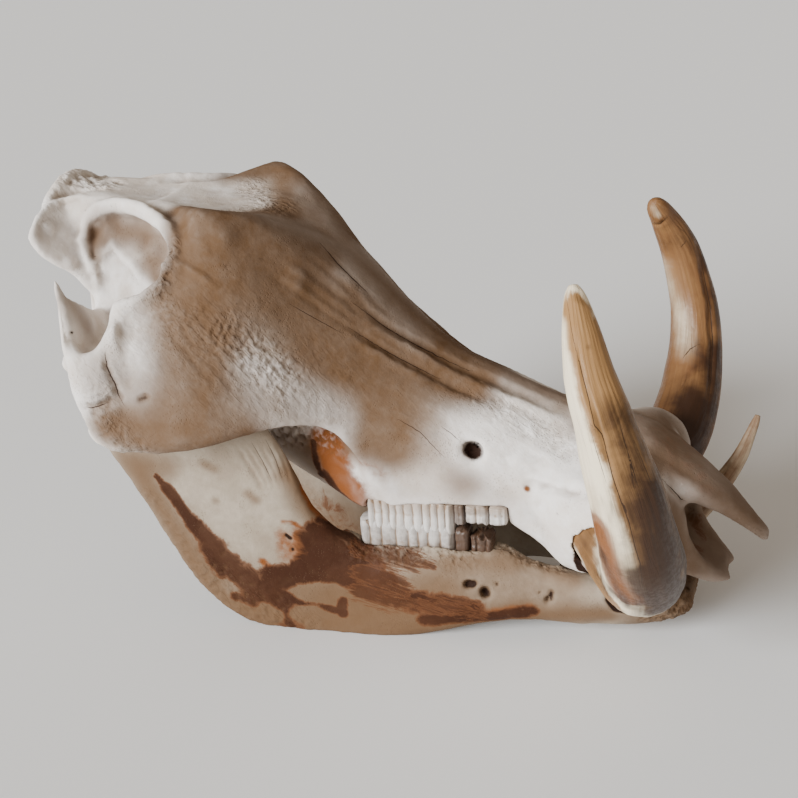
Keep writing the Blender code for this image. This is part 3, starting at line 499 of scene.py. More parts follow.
TUSK_BROWN_AND_SHADE = {
    "right": {
        # The right tusk's inner face and low edge turn from the light: their brown is in part painted
        # shade
        "upper inner face": Stain(((608, 350), (624, 405), (638, 445)), 7.0, 0.28),
        "middle inner face": Stain(((622, 420), (636, 465), (648, 508)), 11.0, 0.8),
        "low inner face": Stain(((652, 500), (664, 540), (668, 580), (664, 606)), 15.0, 1.1),
        "low edge": Stain(((676, 520), (686, 560), (684, 600)), 12.0, 1.1),
        "root": Stain(((586, 548), (596, 566), (612, 592)), 9.0, 0.62),
        "root edge": Stain(((602, 552), (609, 573), (619, 592), (629, 608)), 5.5, 0.7),
        "foot": Stain(((654, 576), (667, 594), (682, 590)), 13.0, 1.3),
        "spot": Stain(((588, 347),), 1.6, 0.6),
    },
    "left": {
        "tip": Stain(((652, 230), (664, 244), (680, 240)), 5.5, 0.5),
        "outer edge": Stain(((700, 232), (716, 270), (722, 320)), 8.0, 0.65),
        "waist": Stain(((704, 352), (708, 376)), 9.0, 0.7),
        "low": Stain(((692, 402), (694, 420), (688, 450)), 15.0, 1.05),
        "low edge": Stain(((717, 350), (712, 410)), 9.0, 0.9),
    },
}
TUSK_ORANGE = {
    "right": {
        "root": Stain(((598, 530), (605, 556), (616, 580), (626, 598)), 8.0, 1.6),
        "upper root": Stain(((592, 490), (598, 520)), 5.0, 0.35),
    },
    "left": {
        "band": Stain(((680, 356), (705, 354)), 10.0, 0.35),
    },
}
TUSK_CREAM_AND_LIGHT = {
    "right": {
        # The right tusk's outer face faces the light: its cream is in part painted light
        "lit outer face": Stain(
            ((562, 330), (568, 390), (583, 450), (600, 500), (620, 545), (635, 590)), 5.0, 1.0),
    },
    "left": {
        "tip": Stain(((653, 208), (657, 214)), 3.4, 0.5),
        # A painted highlight down the middle of the far tusk
        "middle": Stain(((666, 268), (672, 292), (680, 318), (686, 350)), 9.0, 0.48),
        "scratched patch": Stain(((684, 345), (696, 340)), 3.6, 0.3),
    },
}
TUSK_STAINS = {"tan": TUSK_TAN_AND_SHADE, "brown": TUSK_BROWN_AND_SHADE, "orange": TUSK_ORANGE, "cream": TUSK_CREAM_AND_LIGHT}

# How amber a tusk is, how far up it its dark root reaches, and how deep its streaks are cut
Ivory = namedtuple("Ivory", "amber root_reach streak_depth")
IVORIES = {
    "right": Ivory(0.0, 0.12, 0.25),
    "left": Ivory(0.75, 0.30, 0.25),
    "lower": Ivory(0.75, 0.2, 0.3),
}
# Flutes round a tusk: height as a share of its radius, how many, and their twist along it
UPPER_FLUTES = ((0.006, 11, 5), (0.004, 17, -3))
LOWER_FLUTES = ((0.05, 3, 0), (0.02, 5, 2))
# Mean radius of the fluted tusk as a share of the solid's
UPPER_SHARE = 0.99
LOWER_SHARE = 0.95

# Cheek teeth: number of columns, and how broken and how brown each one is
Tooth = namedtuple("Tooth", "columns broken brown")
TEETH = {
    "upper": {
        "third_molar": Tooth(11, 0.1, 0.0),
        "second_molar": Tooth(1, 0.3, 0.85),
        "first_molar": Tooth(2, 0.6, 0.4),
        "premolar": Tooth(1, 0.25, 0.2),
    },
    "lower": {
        "third_molar": Tooth(8, 0.15, 0.45),
        "second_molar": Tooth(1, 0.6, 1.0),
        "first_molar": Tooth(3, 1.0, 1.0),
    },
}
# How far apart in the noise two teeth are taken
SEED_STEP = 5.0
# Points along one side of a column, and rings from the root to the worn face
COLUMN_POINTS = 14
TOOTH_LEVELS = 16
# The neck above the root: its height and spread as shares of the tooth's height, its depth as
# a share of the width, and the share of that depth by which it is shorter too
NECK_HEIGHT = 0.42
NECK_SPREAD = 0.12
NECK_DEPTH = 0.07
NECK_PINCH = 0.04
# The rounding under the worn face: where it starts, and its depth as a share of the width
SHOULDER_START = 0.88
SHOULDER_DEPTH = 0.16
# How deep the folds between columns go, and the least half width that they leave
FOLD_DEPTH = 1.9
THINNEST = 0.6
# How far folds stray from even spacing, in columns, and how quickly that changes along the tooth
FOLD_DRIFT = 0.22
DRIFT_WAVES = 9.0
# The ends: share of the length that is rounded, and shares of width and fold depth left there
END_ROUND = 0.05
END_WIDTH = 0.55
END_FOLD = 0.3
# How much breaks off a crown, the size of its chips, and their mean and swing
BROKEN_DEPTH = 3.0
CHIP_GRAIN = 2.4
CHIP_MEAN = 0.5
CHIP_SWING = 0.9
# How high up its sides get rough, how rough when broken and when sound, and the grain of that
BROKEN_START = 0.35
BROKEN_ROUGHNESS = 1.3
ENAMEL_ROUGHNESS = 0.15
ENAMEL_GRAIN = 3.2


def tint(name, description, *default):
    """A colour in the panel."""
    return FloatVectorProperty(name=name, description=description, subtype="COLOR", default=default)


def measure(name, description, millimetres):
    """A length in the panel."""
    return FloatProperty(name=name, description=description, unit="LENGTH", default=millimetres * MM)


def tally(name, description, default):
    """A whole number in the panel."""
    return IntProperty(name=name, description=description, default=default)


class BoneSettings(bpy.types.PropertyGroup):
    grid: measure("Carving grid", "Spacing of the points that are carved", 1.05)
    smooth_rounds: tally("Smoothing", "Rounds that melt the solid's facets", 18)
    swell: measure("Swell", "Outward move that makes up for the smoothing", 0.35)
    cranium_triangles: tally("Cranium triangles", "Triangles kept in the cranium", 196000)
    jaw_triangles: tally("Jaw triangles", "Triangles kept in the jaw", 150000)
    pale: tint("Pale bone", "Cleanest, most bleached bone", 0.86, 0.81, 0.77)
    cream: tint("Cream bone", "Bone between the bleached patches", 0.62, 0.52, 0.43)
    # The jaw's bone colours are darker than the cranium's: in part creamier bone, in part painted shade,
    # as the jaw lies low and faces down from the light
    pale_jaw_and_shade: tint("Pale jaw bone", "Cleanest bone of the jaw", 0.40, 0.335, 0.262)
    cream_jaw_and_shade: tint("Cream jaw bone", "Bone of the jaw elsewhere", 0.26, 0.20, 0.145)
    # Tan bone is laid on as browning and also as painted shade, on the faces turned from the light and
    # in the hollows
    tan: tint("Tan bone", "Bone browned by soil and handling", 0.135, 0.074, 0.037)
    brown: tint("Brown stain", "Thick of a dried stain", 0.042, 0.015, 0.007)
    russet: tint("Russet stain", "Thin of a dried stain", 0.125, 0.048, 0.020)
    orange: tint("Orange stain", "Glow beside a stain", 0.19, 0.058, 0.014)
    # The pit colour also serves as painted shade in deep holes and the tusk sockets
    pit: tint("Pit colour", "Dirt in holes and sutures", 0.022, 0.010, 0.006)


class TuskSettings(bpy.types.PropertyGroup):
    sides: tally("Sides", "Points round an upper tusk", 144)
    lower_sides: tally("Lower sides", "Points round a lower tusk", 60)
    ring_gap: measure("Ring gap", "Distance between rings along a tusk", 0.9)
    # Cream ivory is also painted light on the right tusk's lit face and a painted highlight down the
    # left tusk
    cream: tint("Cream ivory", "Bleached side of a tusk", 0.92, 0.79, 0.58)
    honey: tint("Honey ivory", "Main colour of a tusk", 0.33, 0.18, 0.072)
    amber: tint("Amber ivory", "Darker, older looking ivory", 0.16, 0.070, 0.027)
    # Umber is also painted shade on the right tusk's inner face
    umber: tint("Umber ivory", "Stained root end of a tusk", 0.034, 0.014, 0.007)
    crack: tint("Crack colour", "Dirt in the cracks", 0.030, 0.015, 0.008)


class ToothSettings(bpy.types.PropertyGroup):
    enamel: tint("Enamel", "Clean enamel", 0.64, 0.61, 0.58)
    root: tint("Root", "Colour in the folds and by the gum", 0.30, 0.19, 0.11)
    decay: tint("Decay", "Colour of broken teeth", 0.062, 0.029, 0.014)


class StageSettings(bpy.types.PropertyGroup):
    floor_colour: tint("Floor", "Colour of the plain floor", 0.88, 0.88, 0.88)
    window_strength: FloatProperty(name="Window light", description="Strength of the soft main light",
                                   default=6.7)
    window_softness: FloatProperty(name="Window softness", description="Angle the main light fills",
                                   default=math.radians(32), subtype="ANGLE")
    window_colour: tint("Window colour", "Cool daylight", 0.95, 0.98, 1.0)
    sky: FloatProperty(name="Room light", description="Strength of the even light from all round",
                       default=0.40)
    sky_colour: tint("Room colour", "Warm light off the room's walls", 1.0, 0.88, 0.74)


class SkullSettings(bpy.types.PropertyGroup):
    bone: PointerProperty(type=BoneSettings)
    tusk: PointerProperty(type=TuskSettings)
    tooth: PointerProperty(type=ToothSettings)
    stage: PointerProperty(type=StageSettings)


def settings():
    return bpy.context.scene.skull_settings


# The photograph's camera, and points on a surface under its pixels

def camera_axes():
    """Right, up and back of the photograph's camera."""
    back = Vector((math.sin(CAMERA_AZIMUTH) * math.cos(CAMERA_ELEVATION),
                   -math.cos(CAMERA_AZIMUTH) * math.cos(CAMERA_ELEVATION),
                   math.sin(CAMERA_ELEVATION)))
    level = Vector((math.cos(CAMERA_AZIMUTH), math.sin(CAMERA_AZIMUTH), 0.0))
    upright = back.cross(level)
    right = level * math.cos(CAMERA_ROLL) + upright * math.sin(CAMERA_ROLL)
    return right, back.cross(right), back


def camera_place():
    return CAMERA_TARGET + camera_axes()[2] * CAMERA_DISTANCE


def surface_tree(thing):
    return BVHTree.FromObject(thing, bpy.context.evaluated_depsgraph_get())


def under_pixels(tree, pixels):
    """The points of a surface that the photograph shows at the given pixels."""
    right, up, back = camera_axes()
    middle = PHOTO_SIZE / 2
    found = []
    for px, py in pixels:
        look = right * (px - middle) / FOCAL_PIXELS - up * (py - middle) / FOCAL_PIXELS - back
        place = tree.ray_cast(camera_place(), look.normalized())[0]
        if place is None:
            place = nearest_to_ray(tree, look.normalized())
        found.append(np.array(place))
    return found


def nearest_to_ray(tree, look):
    """Where a line of sight passes closest to a surface that it misses."""
    best = None
    for step in range(SEARCH_STEPS):
        spot = camera_place() + look * (SEARCH_START + SEARCH_STEP * step)
        place, _, _, gap = tree.find_nearest(spot)
        if best is None or gap < best[1]:
            best = (place, gap)
    return best[0]


# Working on the points of a mesh all at once

def read_rows(elements, name, width=3, kind=float):
    """What each element of a mesh holds under a name, as one row of numbers."""
    values = np.empty(len(elements) * width, dtype=kind)
    elements.foreach_get(name, values)
    return values.reshape(-1, width)


def read_points(mesh):
    return read_rows(mesh.vertices, "co")


def read_normals(mesh):
    return read_rows(mesh.vertex_normals, "vector")


def push_out(mesh, points, push):
    """Move each point out by some millimetres, but not out of the solids' own box."""
    moved = points + read_normals(mesh) * push[:, None] * MM
    mesh.vertices.foreach_set("co", np.clip(moved, *np.array(CAD_BOX)).ravel())
    mesh.update()


def write_field(mesh, name, values):
    """Keep one number at each point, for a material to read."""
    layer = mesh.attributes.new(name, "FLOAT", "POINT")
    layer.data.foreach_set("value", values.astype(np.float32))


def soft_step(values):
    """An even rise from 0 to 1 that starts and ends gently."""
    values = np.clip(values, 0.0, 1.0)
    return values * values * (3.0 - 2.0 * values)


def sampled(points, grain, kind, offset=0.0):
    """Noise at each point; grain is the size of its lumps in millimetres."""
    scaled = points / (grain * MM) + offset
    if kind == "cells":
        return np.array([noise.voronoi(p)[0][0] for p in scaled])
    if kind == "fractal":
        return np.array([noise.fractal(p, 1.0, 2.0, 3) for p in scaled])
    return np.array([noise.noise(p) for p in scaled])


def wobble(points, grain, reach):
    """Points shifted a little by noise, so that lines drawn on them aren't ruled."""
    scaled = points / (grain * MM)
    return points + np.array([noise.noise_vector(p) for p in scaled]) * reach * MM


def line_gap(points, line):
    """Distance of each point from a line through the given places."""
    if len(line) == 1:
        return np.linalg.norm(points - line[0], axis=1)
    gap = np.full(len(points), np.inf)
    for start, end in zip(line[:-1], line[1:]):
        run = end - start
        along = np.clip((points - start) @ run / max(run @ run, 1e-12), 0.0, 1.0)
        gap = np.minimum(gap, np.linalg.norm(points - start - along[:, None] * run, axis=1))
    return gap


def span_lengths(line):
    return [np.linalg.norm(b - a) for a, b in zip(line[:-1], line[1:])]


def near_line(points, line, reach):
    """Which points could lie within reach of a line."""
    line = np.array(line)
    low = line.min(axis=0) - reach
    high = line.max(axis=0) + reach
    return np.all((points > low) & (points < high), axis=1)


def fade(points, line, width):
    """1 on a line, a half at its width, and 0 at twice its width."""
    strength = np.zeros(len(points))
    close = near_line(points, line, 2.0 * width * MM)
    if close.any():
        strength[close] = soft_step(1.0 - line_gap(points[close], line) / (2.0 * width * MM))
    return strength


def flipped(line):
    """The same line on the other side of the skull."""
    return [place * np.array((1.0, -1.0, 1.0)) for place in line]


def lay_out(thing, marks, twins=True):
    """Every mark, patch or stain with its line on the surface, and with twins on the far side."""
    tree = surface_tree(thing)
    laid = []
    for mark in marks.values():
        line = under_pixels(tree, mark.path)
        laid.append((mark, line))
        if twins and getattr(mark, "both", True):
            laid.append((mark, flipped(line)))
    return laid


def strongest(points, laid, value_of):
    """The greatest of the marks' fades at each point, each times its own value."""
    result = np.zeros(len(points))
    for mark, line in laid:
        result = np.maximum(result, fade(points, line, mark.width) * value_of(mark))
    return result


def covering(points, laid):
    """How much of each point the stains cover together, as coats of paint would."""
    bare = np.ones(len(points))
    for stain, line in laid:
        bare *= 1.0 - np.minimum(fade(points, line, stain.width) * stain.strength, 1.0)
    return 1.0 - bare


def total(points, laid, value_of):
    """The sum of the marks' fades at each point, each times its own value. Lines taper off."""
    result = np.zeros(len(points))
    for mark, line in laid:
        strength = fade(points, line, mark.width) * value_of(mark)
        if len(line) > 2:
            close = strength != 0
            reach = END_SHARE * sum(span_lengths(line))
            from_end = np.minimum(np.linalg.norm(points[close] - line[0], axis=1),
                                  np.linalg.norm(points[close] - line[-1], axis=1))
            strength[close] *= END_DEPTH + (1.0 - END_DEPTH) * soft_step(from_end / reach)
        result += strength
    return result


def roughness(points, laid):
    """Outward push of every rough patch."""
    push = np.zeros(len(points))
    for number, (patch, line) in enumerate(laid):
        close = near_line(points, line, 2.0 * patch.width * MM)
        if not close.any():
            continue
        here = points[close]
        lumps = sampled(here, patch.grain, "fractal", number * LUMP_STEP)
        cells = sampled(here, patch.grain * HOLE_GRAIN, "cells", number * HOLE_STEP)
        holes = soft_step((HOLE_RADIUS - cells) / HOLE_EDGE)
        height = LUMP_SHARE * lumps - HOLE_SHARE * holes
        push[close] += fade(here, line, patch.width) * patch.height * height
    return push


def waves(points, table):
    """Gentle unevenness, from noise of several sizes."""
    return sum(height * sampled(points, grain, kind, offset) for grain, height, kind, offset in table)


def crack_fields(thing, cracks, reach, twins):
    """How far each point lies across the nearest crack, in crack widths, and how much it shows."""
    points = read_points(thing.data)
    tree = surface_tree(thing)
    across = np.full(len(points), NO_CRACK)
    shows = np.zeros(len(points))
    nearest = np.full(len(points), reach * MM)
    for crack, line in lay_out(thing, cracks, twins):
        lengths = span_lengths(line)
        whole = sum(lengths)
        passed = 0.0
        for start, end, length in zip(line[:-1], line[1:], lengths):
            close = np.flatnonzero(near_line(points, (start, end), reach * MM))
            outward = np.array(tree.find_nearest(Vector((start + end) / 2))[1])
            offset = points[close] - start
            run = (end - start) / length
            along = offset @ run
            gap = np.linalg.norm(offset - np.clip(along, 0.0, length)[:, None] * run, axis=1)
            better = gap < nearest[close]
            close, gap, along = close[better], gap[better], along[better]
            side = np.sign(np.cross(run, offset[better]) @ outward)
            place = passed + along
            from_end = np.minimum(place, whole - place)
            shown = soft_step(from_end / (CRACK_END_SHARE * whole))
            shown = CRACK_END_DARK + (1.0 - CRACK_END_DARK) * shown
            shown *= soft_step(1.0 + from_end / (CRACK_RUN_OUT * MM))
            shown *= soft_step(2.0 - 2.0 * gap / (reach * MM))
            nearest[close] = gap
            across[close] = side * gap / (crack.line * MM)
            shows[close] = shown * crack.dark
            passed += length
    return across, shows


def write_cracks(thing, cracks, reach, twins=True):
    across, shows = crack_fields(thing, cracks, reach, twins)
    write_field(thing.data, "crack_across", across)
    write_field(thing.data, "crack_shows", shows)


def neighbour_mean(mesh, values, rounds):
    """Each point's value blended with those next to it, several times over."""
    pairs = read_rows(mesh.edges, "vertices", 2, np.int64)
    size = len(mesh.vertices)
    count = np.maximum(np.bincount(pairs.ravel(), minlength=size), 1)
    for _ in range(rounds):
        mixed = np.empty_like(values)
        for axis in range(values.shape[1]):
            mixed[:, axis] = (np.bincount(pairs[:, 0], values[pairs[:, 1], axis], size)
                              + np.bincount(pairs[:, 1], values[pairs[:, 0], axis], size)) / count
        values = mixed
    return values


def relief(mesh, full, rounds):
    """How far each point stands under (positive) or over the surface round it, from -1 to 1."""
    points = read_points(mesh)
    sunk = ((neighbour_mean(mesh, points, rounds) - points) * read_normals(mesh)).sum(axis=1)
    return np.clip(sunk / (full * MM), -1.0, 1.0)


# Making objects

def new_object(name, data):
    thing = bpy.data.objects.new(name, data)
    bpy.context.scene.collection.objects.link(thing)
    return thing


def object_from(name, bm):
    """A new object that holds what was modelled in a bmesh."""
    mesh = bpy.data.meshes.new(name)
    bm.to_mesh(mesh)
    bm.free()
    return new_object(name, mesh)


def bake(thing):
    """Replace a piece's mesh with what its modifiers make of it."""
    bpy.context.view_layer.update()
    shaped = thing.evaluated_get(bpy.context.evaluated_depsgraph_get())
    mesh = bpy.data.meshes.new_from_object(shaped)
    thing.modifiers.clear()
    thing.data = mesh


def dense_copy(node, name):
    """A fine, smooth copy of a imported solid, ready to carve."""
    bone = settings().bone
    bm = bmesh.new()
    bm.from_mesh(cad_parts[node].data)
    bmesh.ops.remove_doubles(bm, verts=bm.verts, dist=1e-6)
    thing = object_from(name, bm)
    grid = thing.modifiers.new("grid", "REMESH")
    grid.mode = "VOXEL"
    grid.voxel_size = bone.grid
    melt = thing.modifiers.new("melt facets", "SMOOTH")
    melt.factor = 0.5
    melt.iterations = bone.smooth_rounds
    swell = thing.modifiers.new("swell", "DISPLACE")
    swell.mid_level = 0.0
    swell.strength = bone.swell
    bake(thing)
    return thing


def thin_out(thing, triangles):
    """Keep a chosen number of triangles, most of them where the relief is."""
    fewer = thing.modifiers.new("fewer faces", "DECIMATE")
    fewer.ratio = min(1.0, triangles / sum(len(p.vertices) - 2 for p in thing.data.polygons))
    fewer.use_collapse_triangulate = True
    bake(thing)


def carve_bone(node, name, marks, patches):
    """A dense bone with its lines, holes and rough patches cut into it."""
    thing = dense_copy(node, name)
    laid_marks = lay_out(thing, marks)
    points = read_points(thing.data)
    push = -total(wobble(points, *BONE_WAVER), laid_marks, lambda mark: mark.depth)
    push += roughness(points, lay_out(thing, patches))
    push += waves(points, BONE_WAVES)
    push_out(thing.data, points, push)
    return thing, laid_marks


def colour_bone(thing, uncarved, marks, cracks, patches, colouring):
    """Write the fields that the bone's material turns into colour."""
    points = read_points(thing.data)
    drawn = wobble(points, *BONE_WAVER)
    # Marks darken the bone: dirt in the lines, painted shade in the deep holes and sockets
    dark = strongest(drawn, uncarved + lay_out(thing, marks), lambda mark: mark.dark)
    write_field(thing.data, "dirt_and_shade", dark)
    # How far each point lies below or above its surroundings; the material darkens the hollows with it
    # as painted shade and lightens the ridges
    sunk = relief(thing.data, *BONE_RELIEF)
    write_field(thing.data, "hollow", np.maximum(sunk, 0.0))
    write_field(thing.data, "ridge", np.maximum(-sunk, 0.0))
    rough = strongest(points, lay_out(thing, patches),
                      lambda patch: min(1.0, LUMP_SHARE * patch.height))
    write_field(thing.data, "rough", rough)
    brown, orange, streaks, clean, bleached = (
        strongest(points, lay_out(thing, table), lambda stain: stain.strength)
        for table in colouring[1:])
    tan = covering(points, lay_out(thing, colouring.tan))
    # The lit patches, painted light, cut the tan, which is partly painted shade
    fields = {"tan": tan * (1.0 - bleached), "brown": brown * (1.0 - clean),
              "streaks": streaks * (1.0 - clean), "orange": orange, "bleached": bleached}
    for name, values in fields.items():
        write_field(thing.data, name, values)
    write_cracks(thing, cracks, BONE_CRACK_REACH)


def build_bone(node, name, triangles, marks, cracks, patches, colouring):
    """A bone that is carved, thinned out and coloured by its tables."""
    thing, uncarved = carve_bone(node, name, marks, patches)
    thin_out(thing, triangles)
    colour_bone(thing, uncarved, marks, cracks, patches, colouring)
    return thing


def finish_piece(thing, material, slot, *nodes):
    """Shade a piece, tie it to the skull and let it stand for its solids."""
    thing.data.materials.clear()
    thing.data.materials.append(material)
    thing.data.shade_smooth()
    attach(thing, "root")
    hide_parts(*nodes)


def smooth_path(points, steps):
    """Points on a smooth curve through the given ones, with steps on each span."""
    path = []
    padded = [points[0], *points, points[-1]]
    for before, here, after, beyond in zip(padded, padded[1:], padded[2:], padded[3:]):
        for k in range(steps):
            t = k / steps
            path.append((-0.5 * t + t * t - 0.5 * t ** 3) * before
                        + (1 - 2.5 * t * t + 1.5 * t ** 3) * here
                        + (0.5 * t + 2 * t * t - 1.5 * t ** 3) * after
                        + (-0.5 * t * t + 0.5 * t ** 3) * beyond)
    path.append(points[-1])
    return path


def loft(name, rings):
    """A closed skin extruded from ring to ring, with a fan of faces over each end."""
    bm = bmesh.new()
    count = len(rings[0])
    verts = bmesh.ops.create_circle(bm, segments=count, radius=1.0)["verts"]
    for vert, point in zip(verts, rings[0]):
        vert.co = point
    edges = bm.edges[:]
    first_edges = list(edges)
    for ring in rings[1:]:
        made = bmesh.ops.extrude_edge_only(bm, edges=edges)["geom"]
        fresh = {v for v in made if isinstance(v, bmesh.types.BMVert)}
        next_verts = []
        for vert, point in zip(verts, ring):
            twin = next(e.other_vert(vert) for e in vert.link_edges
                        if e.other_vert(vert) in fresh)
            twin.co = point
            next_verts.append(twin)
        verts = next_verts
        edges = [e for e in made if isinstance(e, bmesh.types.BMEdge)
                 and e.verts[0] in fresh and e.verts[1] in fresh]
    for rim in (first_edges, edges):
        cap = bmesh.ops.edgeloop_fill(bm, edges=rim)["faces"]
        bmesh.ops.poke(bm, faces=cap)
    bmesh.ops.recalc_face_normals(bm, faces=bm.faces)
    return object_from(name, bm)


def tusk_rings(path, radii, sides, ring_gap, outline):
    """Rings along a tusk, with each point's distance along it and angle round it."""
    rows = smooth_path([np.array((*p, r)) for p, r in zip(path, radii)], PATH_STEPS)
    places = [Vector((x - MIDDLE_STATION, y, z)) * MM for x, y, z, _ in rows]
    lengths = [0.0]
    for here, after in zip(places[:-1], places[1:]):
        lengths.append(lengths[-1] + (after - here).length)
    count = max(4, round(lengths[-1] / ring_gap))
    angles = [2 * math.pi * n / sides for n in range(sides)]
    rings, along, around = [], [], []
    side = Vector((1, 0, 0))
    for k in range(count + 1):
        distance = lengths[-1] * k / count
        i = min(np.searchsorted(lengths, distance, side="right") - 1, len(rows) - 2)
        t = (distance - lengths[i]) / (lengths[i + 1] - lengths[i])
        centre = places[i].lerp(places[i + 1], t)
        radius = (rows[i][3] * (1 - t) + rows[i + 1][3] * t) * MM
        forward = (places[i + 1] - places[i]).normalized()
        side = (side - forward * side.dot(forward)).normalized()
        up = forward.cross(side)
        ring = []
        for angle in angles:
            reach = radius * outline(angle, k / count)
            ring.append(centre + (side * math.cos(angle) + up * math.sin(angle)) * reach)
        rings.append(ring)
        along += [k / count] * sides
        around += angles
    return rings, np.array(along), np.array(around), lengths[-1]


def tusk_body(name, shape, sides, outline):
    """A closed tusk, with the straightened place of each of its points."""
    path, radii = shape
    rings, along, around, length = tusk_rings(path, radii, sides, settings().tusk.ring_gap, outline)
    thing = loft(name, rings)
    ends = len(thing.data.vertices) - len(along)
    along = np.concatenate([along, [0.0, 1.0][:ends]])
    around = np.concatenate([around, np.zeros(ends)])
    mean_radius = float(np.mean(radii)) * MM
    straight = np.stack([np.cos(around) * mean_radius, np.sin(around) * mean_radius,
                         along * length], axis=1)
    layer = thing.data.attributes.new("grain", "FLOAT_VECTOR", "POINT")
    layer.data.foreach_set("vector", straight.astype(np.float32).ravel())
    write_field(thing.data, "along", along)
    return thing, straight


def flutes(table, angle, along):
    return sum(height * math.cos(number * angle + twist * along) for height, number, twist in table)


def upper_outline(angle, along):
    """Shallow flutes run up a tusk and fade towards its tip."""
    return UPPER_SHARE + flutes(UPPER_FLUTES, angle, along) * (1.0 - along)


def lower_outline(angle, along):
    """A slender tusk is three-sided."""
    return LOWER_SHARE + flutes(LOWER_FLUTES, angle, along)


def carve_tusk(thing, straight, side):
    """Cut facets and streaks into a tusk and write its colour fields."""
    laid = lay_out(thing, TUSK_MARKS.get(side, NO_MARKS), twins=False)
    points = read_points(thing.data)
    drawn = wobble(points, *TUSK_WAVER)
    drawn_out = straight * np.array((1.0, 1.0, STREAK_STRETCH))
    push = -total(drawn, laid, lambda mark: mark.depth)
    push += IVORIES[side].streak_depth * sampled(drawn_out, STREAK_WIDTH, "fractal")
    push += waves(points, TUSK_WAVES)
    push_out(thing.data, points, push)
    write_field(thing.data, "dirt_and_shade", strongest(drawn, laid, lambda mark: mark.dark))
    for name, table in TUSK_STAINS.items():
        stains = lay_out(thing, table.get(side, NO_MARKS), twins=False)
        write_field(thing.data, name, strongest(points, stains, lambda stain: stain.strength))
    write_cracks(thing, TUSK_CRACKS.get(side, NO_MARKS), TUSK_CRACK_REACH, twins=False)


def make_tusk(node, shape, side, sides, outline, material, slot):
    """Model, carve and colour one tusk; side is the one whose tables it goes by."""
    thing, straight = tusk_body(node + "_ivory", shape, sides, outline)
    carve_tusk(thing, straight, side)
    finish_piece(thing, material, slot, node)


def tooth_rings(low, high, crown_up, spec, seed):
    """Rings of a cheek tooth from its root to its worn face."""
    middle = (low + high) / 2
    half_length = (high.x - low.x) / 2
    half_width = (high.y - low.y) / 2
    side_points = spec.columns * COLUMN_POINTS
    rings = []
    for level in range(TOOTH_LEVELS + 1):
        t = level / TOOTH_LEVELS
        neck = 1.0 - NECK_DEPTH * math.exp(-((t - NECK_HEIGHT) / NECK_SPREAD) ** 2)
        shoulder = 1.0 - SHOULDER_DEPTH * soft_step((t - SHOULDER_START) / (1.0 - SHOULDER_START))
        rough = (spec.broken * BROKEN_ROUGHNESS * max(0.0, t - BROKEN_START) + ENAMEL_ROUGHNESS) * MM
        ring = []
        for k in range(2 * side_points):
            along = (k if k < side_points else 2 * side_points - k) / side_points
            sign = 1 if k < side_points else -1
            drift = math.sin(math.pi * along) * math.sin(DRIFT_WAVES * along + seed + 0.6 * sign)
            fold = abs(math.sin(math.pi * (spec.columns * along + FOLD_DRIFT * drift)))
            end = math.sin(math.pi / 2 * min(along, 1 - along, END_ROUND) / END_ROUND)
            reach = half_width * (END_WIDTH + (1 - END_WIDTH) * end) * neck * shoulder
            reach -= FOLD_DEPTH * MM * (1 - fold ** 0.5) * (END_FOLD + (1 - END_FOLD) * end)
            x = middle.x + half_length * (2 * along - 1) * (1 - NECK_PINCH * (1 - neck))
            height = crown_height(low, high, t, x, sign, spec, seed)
            place = Vector((x, middle.y + sign * max(reach, THINNEST * MM),
                            low.z + height if crown_up else high.z - height))
            shift = noise.noise_vector(place / (ENAMEL_GRAIN * MM) + Vector((seed, 0, 0)))
            ring.append(place + shift * rough)
        rings.append(ring)
    return rings


def crown_height(low, high, t, x, sign, spec, seed):
    """How far up the crown a ring's point lies. Broken crowns end unevenly."""
    chip = CHIP_MEAN + CHIP_SWING * noise.noise(Vector((x / (CHIP_GRAIN * MM), sign * 0.8, seed)))
    lost = spec.broken * BROKEN_DEPTH * MM * min(max(chip, 0.0), 1.0)
    return (high.z - low.z - lost * soft_step((t - 0.5) / 0.5)) * t


# Materials

